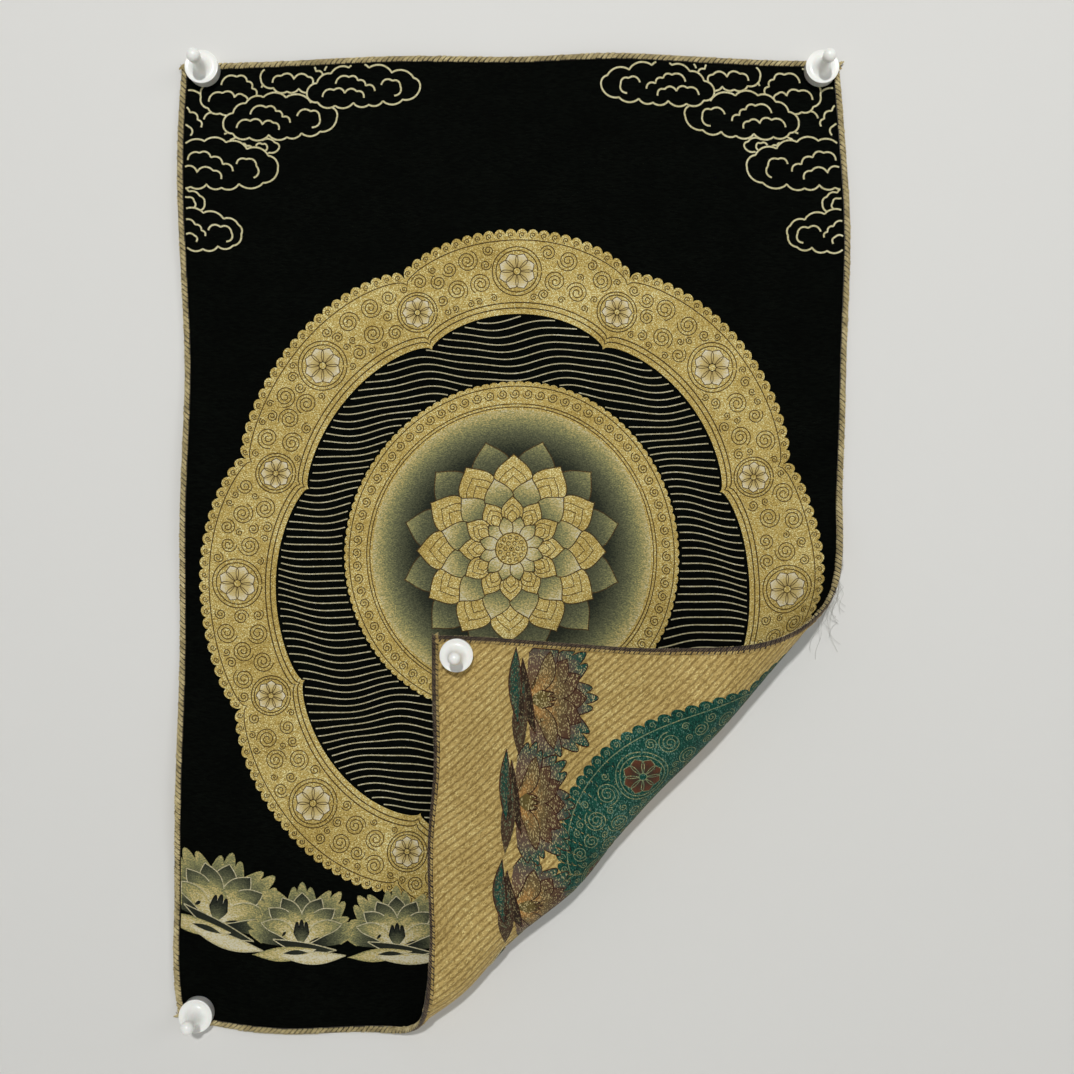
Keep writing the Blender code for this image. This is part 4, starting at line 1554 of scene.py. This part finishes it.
# Push pins: columns are the radius and the distance forward of the flange's back, in millimetres
HEAD_PROFILE = (
    (0.0, 5.0),
    (0.8, 5.0),
    (0.8, 0.0),
    (6.8, 0.0),
    (7.0, 0.08),
    (7.2, 0.35),
    (7.2, 4.1),
    (7.36, 4.45),
    (7.5, 4.8),
    (7.44, 5.08),
    (7.22, 5.22),
    (6.95, 5.14),
    (6.6, 5.0),
    (5.9, 4.90),
    (5.2, 4.90),
    (4.5, 5.15),
    (3.7, 5.8),
    (3.15, 6.8),
    (2.75, 8.0),
    (2.42, 9.6),
    (2.24, 11.2),
    (2.20, 12.4),
    (2.26, 13.3),
)
KNOB_RADIUS = 3.0
KNOB_CENTRE = 15.5
KNOB_STEPS = 22


class HANGING_OT_pins(bpy.types.Operator):
    """Mould the four push pins' heads and finish their needles"""

    bl_idname = "hanging.pins"
    bl_label = "Push pins"

    def execute(self, context):
        settings = context.scene.hanging_pins
        plastic = self.plastic(settings)
        steel = self.steel()
        for name, side, height, flange_back in PINS:
            head = self.make_head("moulded_head_" + name, side, height, flange_back, settings.sides, plastic)
            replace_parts(head, "pin_head_" + name)
            needle = frame["nodes"]["pin_needle_" + name]
            needle.data.materials.clear()
            needle.data.materials.append(steel)
        return {"FINISHED"}

    def make_head(self, name, side, height, flange_back, sides, plastic):
        profile = list(HEAD_PROFILE)
        first = math.asin(profile[-1][0] / KNOB_RADIUS)
        for step in range(1, KNOB_STEPS):
            turn = first + (math.pi - first) * step / KNOB_STEPS
            profile.append((KNOB_RADIUS * math.sin(turn), KNOB_CENTRE - KNOB_RADIUS * math.cos(turn)))
        profile.append((0.0, KNOB_CENTRE + KNOB_RADIUS))
        points, rings = [], []
        for radius, forward in profile:
            ring = []
            for number in range(1 if radius == 0.0 else sides):
                turn = 2.0 * math.pi * number / sides
                ring.append(len(points))
                points.append(
                    (
                        side + radius * MM * math.cos(turn),
                        -flange_back - forward * MM,
                        height + radius * MM * math.sin(turn),
                    )
                )
            rings.append(ring * sides if len(ring) == 1 else ring)
        faces = []
        for ring, following in zip(rings, rings[1:]):
            for number in range(sides):
                after = (number + 1) % sides
                corners = (ring[number], ring[after], following[after], following[number])
                faces.append(tuple(dict.fromkeys(corners)))
        mesh = new_mesh(name, points, faces, [plastic], sharp=50.0, outwards=True)
        return new_piece(name, mesh)

    def plastic(self, settings):
        material, tree, shader = new_material(
            "Moulded white plastic",
            specular_ior_level=0.5,
            coat_weight=0.25,
            coat_roughness=0.12,
            subsurface_weight=0.08,
            subsurface_scale=0.002,
        )
        place = object_place(tree)
        wide, fine = noise(tree, place, 160.0, 3.0), noise(tree, place, 1400.0, 2.0)
        white = tuple(settings.plastic_colour)
        worn = tuple(value * 0.95 for value in white)
        tree.links.new(mix_colour(tree, wide, white, worn), shader.inputs["Base Color"])
        tree.links.new(rescale(tree, fine, 0.0, 1.0, 0.22, 0.38), shader.inputs["Roughness"])
        bump(tree, shader, fine, 0.00002, 0.5)
        return material

    def steel(self):
        material, tree, shader = new_material("Drawn needle steel", metallic=1.0)
        stretch = {"Vector": object_place(tree), "Scale": (3000.0, 60.0, 3000.0)}
        lines = noise(tree, add_node(tree, "ShaderNodeMapping", stretch).outputs[0], 1.0, 2.0)
        colour = mix_colour(tree, lines, srgb(170, 170, 172), srgb(206, 206, 208))
        tree.links.new(colour, shader.inputs["Base Color"])
        tree.links.new(rescale(tree, lines, 0.0, 1.0, 0.18, 0.36), shader.inputs["Roughness"])
        return material


# The stage, in metres
BACKDROP_TOP = 1.6
BACKDROP_FOOT = -1.15
BACKDROP_CURVE = 0.45
BACKDROP_REACH = 3.2
BACKDROP_HALF_WIDTH = 2.4
ROOM_COLOUR = (0.96, 0.98, 1.0, 1.0)
ROOM_STRENGTH = 0.28
LIT_PLACE = (0.0, 0.0, -0.21)
# Columns are the name, the way to the light, its distance, its size and its power
LIGHTS = (
    ("Key light", (-0.02, -1.0, 0.42), 1.7, 0.07, 15.0),
    ("Side light", (1.0, -0.9, 0.35), 2.2, 0.9, 4.8),
    ("Back light", (-0.3, 1.0, 0.6), 2.2, 1.2, 22.0),
)


class HANGING_OT_stage(bpy.types.Operator):
    """Set the plain stage: a pale backdrop that curves into a floor, soft lights and the camera"""

    bl_idname = "hanging.stage"
    bl_label = "Stage"

    def execute(self, context):
        self.make_backdrop()
        self.make_lights(context.scene)
        camera = bpy.data.cameras.new("Camera")
        camera.sensor_width = SENSOR
        camera.lens = LENS
        camera.clip_start = 0.01
        holder = bpy.data.objects.new("Camera", camera)
        holder.location = CAMERA_PLACE
        holder.rotation_euler = (math.radians(90.0), 0.0, 0.0)
        context.scene.collection.objects.link(holder)
        context.scene.camera = holder
        context.scene.view_settings.view_transform = "Standard"
        return {"FINISHED"}

    def make_backdrop(self):
        """One sheet: the wall behind the panel, a curve and the floor. Its back lets the view through."""
        radius, centre = BACKDROP_CURVE, BACKDROP_FOOT + BACKDROP_CURVE
        line = [(0.0, BACKDROP_TOP), (0.0, centre)]
        line += [
            (-radius + radius * math.cos(turn), centre - radius * math.sin(turn))
            for turn in np.linspace(0.0, math.pi / 2.0, 17)[1:]
        ]
        line += [(-BACKDROP_REACH, BACKDROP_FOOT)]
        sides = (-BACKDROP_HALF_WIDTH, BACKDROP_HALF_WIDTH)
        points = [(side, depth, height) for depth, height in line for side in sides]
        faces = [(2 * n, 2 * n + 2, 2 * n + 3, 2 * n + 1) for n in range(len(line) - 1)]
        material, tree, shader = new_material("Plain pale wall")
        shader.inputs["Base Color"].default_value = with_alpha(srgb(226, 225, 221))
        shader.inputs["Roughness"].default_value = 0.9
        clear = add_node(tree, "ShaderNodeBsdfTransparent").outputs[0]
        back = add_node(tree, "ShaderNodeNewGeometry").outputs["Backfacing"]
        either = add_node(tree, "ShaderNodeMixShader", {0: back, 1: shader.outputs[0], 2: clear}).outputs[0]
        tree.links.new(either, tree.nodes["Material Output"].inputs["Surface"])
        mesh = bpy.data.meshes.new("backdrop")
        mesh.from_pydata(points, [], faces)
        mesh.materials.append(material)
        mesh.shade_smooth()
        backdrop = bpy.data.objects.new("backdrop", mesh)
        backdrop.visible_shadow = False
        bpy.context.scene.collection.objects.link(backdrop)

    def make_lights(self, scene):
        world = bpy.data.worlds.new("Soft room")
        world.use_nodes = True
        room = world.node_tree.nodes["Background"].inputs
        room[0].default_value, room[1].default_value = ROOM_COLOUR, ROOM_STRENGTH
        scene.world = world
        for name, way, distance, size, power in LIGHTS:
            light = bpy.data.lights.new(name, "AREA")
            light.shape = "DISK"
            light.size = size
            light.energy = power
            lamp = bpy.data.objects.new(name, light)
            toward = Vector(way).normalized()
            lamp.location = Vector(LIT_PLACE) + toward * distance
            lamp.rotation_mode = "QUATERNION"
            lamp.rotation_quaternion = toward.to_track_quat("Z", "Y")
            scene.collection.objects.link(lamp)


# Loose wisps, in millimetres: columns are where on the right edge one starts, the side and height of its
# end, its curl's size and turns, and its fibres
WISPS = (
    (-214.0, 147.8, -237.0, 1.4, 1.3, 3),
    (-218.0, 148.0, -245.0, 2.2, 1.6, 3),
    (-222.0, 147.0, -251.0, 2.4, 1.9, 2),
    (-227.0, 143.6, -250.0, 2.6, 1.9, 3),
    (-230.0, 145.4, -260.0, 2.4, 1.6, 3),
    (-235.0, 141.4, -253.0, 2.0, 1.8, 2),
    (-240.0, 137.8, -265.0, 1.4, 1.6, 2),
)
FIBRE_RADIUS = 0.11
FIBRE_SIDES = 5
FIBRE_POINTS = 25
FIBRE_SEED = 3
FIBRE_SCATTER = (0.9, 0.8, 1.3)  # of where a fibre starts, and of the side and height of its end
FIBRE_COLOURS = ((176, 175, 168), (196, 195, 189), (216, 215, 209))


class HANGING_OT_frayed_fibres(bpy.types.Operator):
    """Draw out the few loose fibres at the fold's upper end"""

    bl_idname = "hanging.frayed_fibres"
    bl_label = "Frayed fibres"

    def execute(self, context):
        fibre = edge_thread_material("Grey fibre", *FIBRE_COLOURS)
        points, faces = [], []
        random = np.random.default_rng(FIBRE_SEED)
        drawn = [row[:-1] for row in WISPS for _ in range(row[-1])]
        for start, end, height, curl, turns in drawn:
            start, end, height = np.array((start, end, height)) + random.normal(0.0, FIBRE_SCATTER)
            curl, turns = np.array((curl, turns)) * random.uniform(0.6, 1.4, 2)
            root = hang(np.array((PANEL_WIDTH / 2.0, start * MM)), 0.0)
            share = np.linspace(0.0, 1.0, FIBRE_POINTS)
            sway = curl * MM * share**0.6
            turn = share * turns * 2.0 * math.pi
            near_wall = np.minimum(root[1], -0.0006) * (1.0 - share) ** 2 - 0.0007
            line = np.stack(
                [
                    root[0] + (end * MM - root[0]) * share + sway * np.sin(turn),
                    near_wall - np.abs(sway) * 0.4 * np.sin(turn / 2.0) ** 2,
                    root[2] + (height * MM - root[2]) * share + sway * (1.0 - np.cos(turn)),
                ],
                -1,
            )
            self.add_tube(points, faces, line, FIBRE_RADIUS * MM * (1.0 - 0.4 * share))
        mesh = new_mesh("frayed_fibres", points, faces, [fibre], sharp=180.0, outwards=True)
        new_piece("frayed_fibres", mesh)
        return {"FINISHED"}

    def add_tube(self, points, faces, line, radii):
        start, sides = len(points), FIBRE_SIDES
        ahead = np.gradient(line, axis=0)
        ahead /= np.linalg.norm(ahead, axis=1)[:, None]
        first = np.cross(ahead, (0.0, 1.0, 0.0))
        first /= np.linalg.norm(first, axis=1)[:, None]
        second = np.cross(ahead, first)
        for place, one, two, radius in zip(line, first, second, radii):
            for number in range(sides):
                turn = 2.0 * math.pi * number / sides
                points.append((place + radius * (math.cos(turn) * one + math.sin(turn) * two)).tolist())
        for ring in range(len(line) - 1):
            for number in range(sides):
                after = (number + 1) % sides
                low, high = start + ring * sides, start + (ring + 1) * sides
                faces.append((low + number, low + after, high + after, high + number))
        faces.append(tuple(range(start + sides - 1, start - 1, -1)))
        faces.append(tuple(range(start + (len(line) - 1) * sides, start + len(line) * sides)))


class HANGING_PT_pieces(bpy.types.Panel):
    """Sizes and colours of the hanging, and a button for each group of its pieces"""

    bl_idname = "HANGING_PT_pieces"
    bl_label = "Brocade hanging"
    bl_space_type = "VIEW_3D"
    bl_region_type = "UI"
    bl_category = "Hanging"

    def draw(self, context):
        layout = self.layout
        for group in ("hanging", "hanging_edge", "hanging_pins"):
            settings = getattr(context.scene, group)
            for name in type(settings).__annotations__:
                layout.prop(settings, name)
        for operator in OPERATORS:
            layout.operator(operator.bl_idname)


SETTINGS = {"hanging": HangingSettings, "hanging_edge": EdgeSettings, "hanging_pins": PinSettings}
OPERATORS = (
    HANGING_OT_cloth,
    HANGING_OT_clouds,
    HANGING_OT_medallion,
    HANGING_OT_lotus_row,
    HANGING_OT_edge_thread,
    HANGING_OT_pins,
    HANGING_OT_frayed_fibres,
    HANGING_OT_stage,
)


def register():
    for name, settings in SETTINGS.items():
        bpy.utils.register_class(settings)
        setattr(bpy.types.Scene, name, bpy.props.PointerProperty(type=settings))
    for kind in (*OPERATORS, HANGING_PT_pieces):
        bpy.utils.register_class(kind)


def unregister():
    for kind in reversed((*OPERATORS, HANGING_PT_pieces)):
        bpy.utils.unregister_class(kind)
    for name, settings in SETTINGS.items():
        delattr(bpy.types.Scene, name)
        bpy.utils.unregister_class(settings)


def main():
    register()
    for operator in OPERATORS:
        area, name = operator.bl_idname.split(".")
        getattr(getattr(bpy.ops, area), name)()


if __name__ == "__main__":
    main()
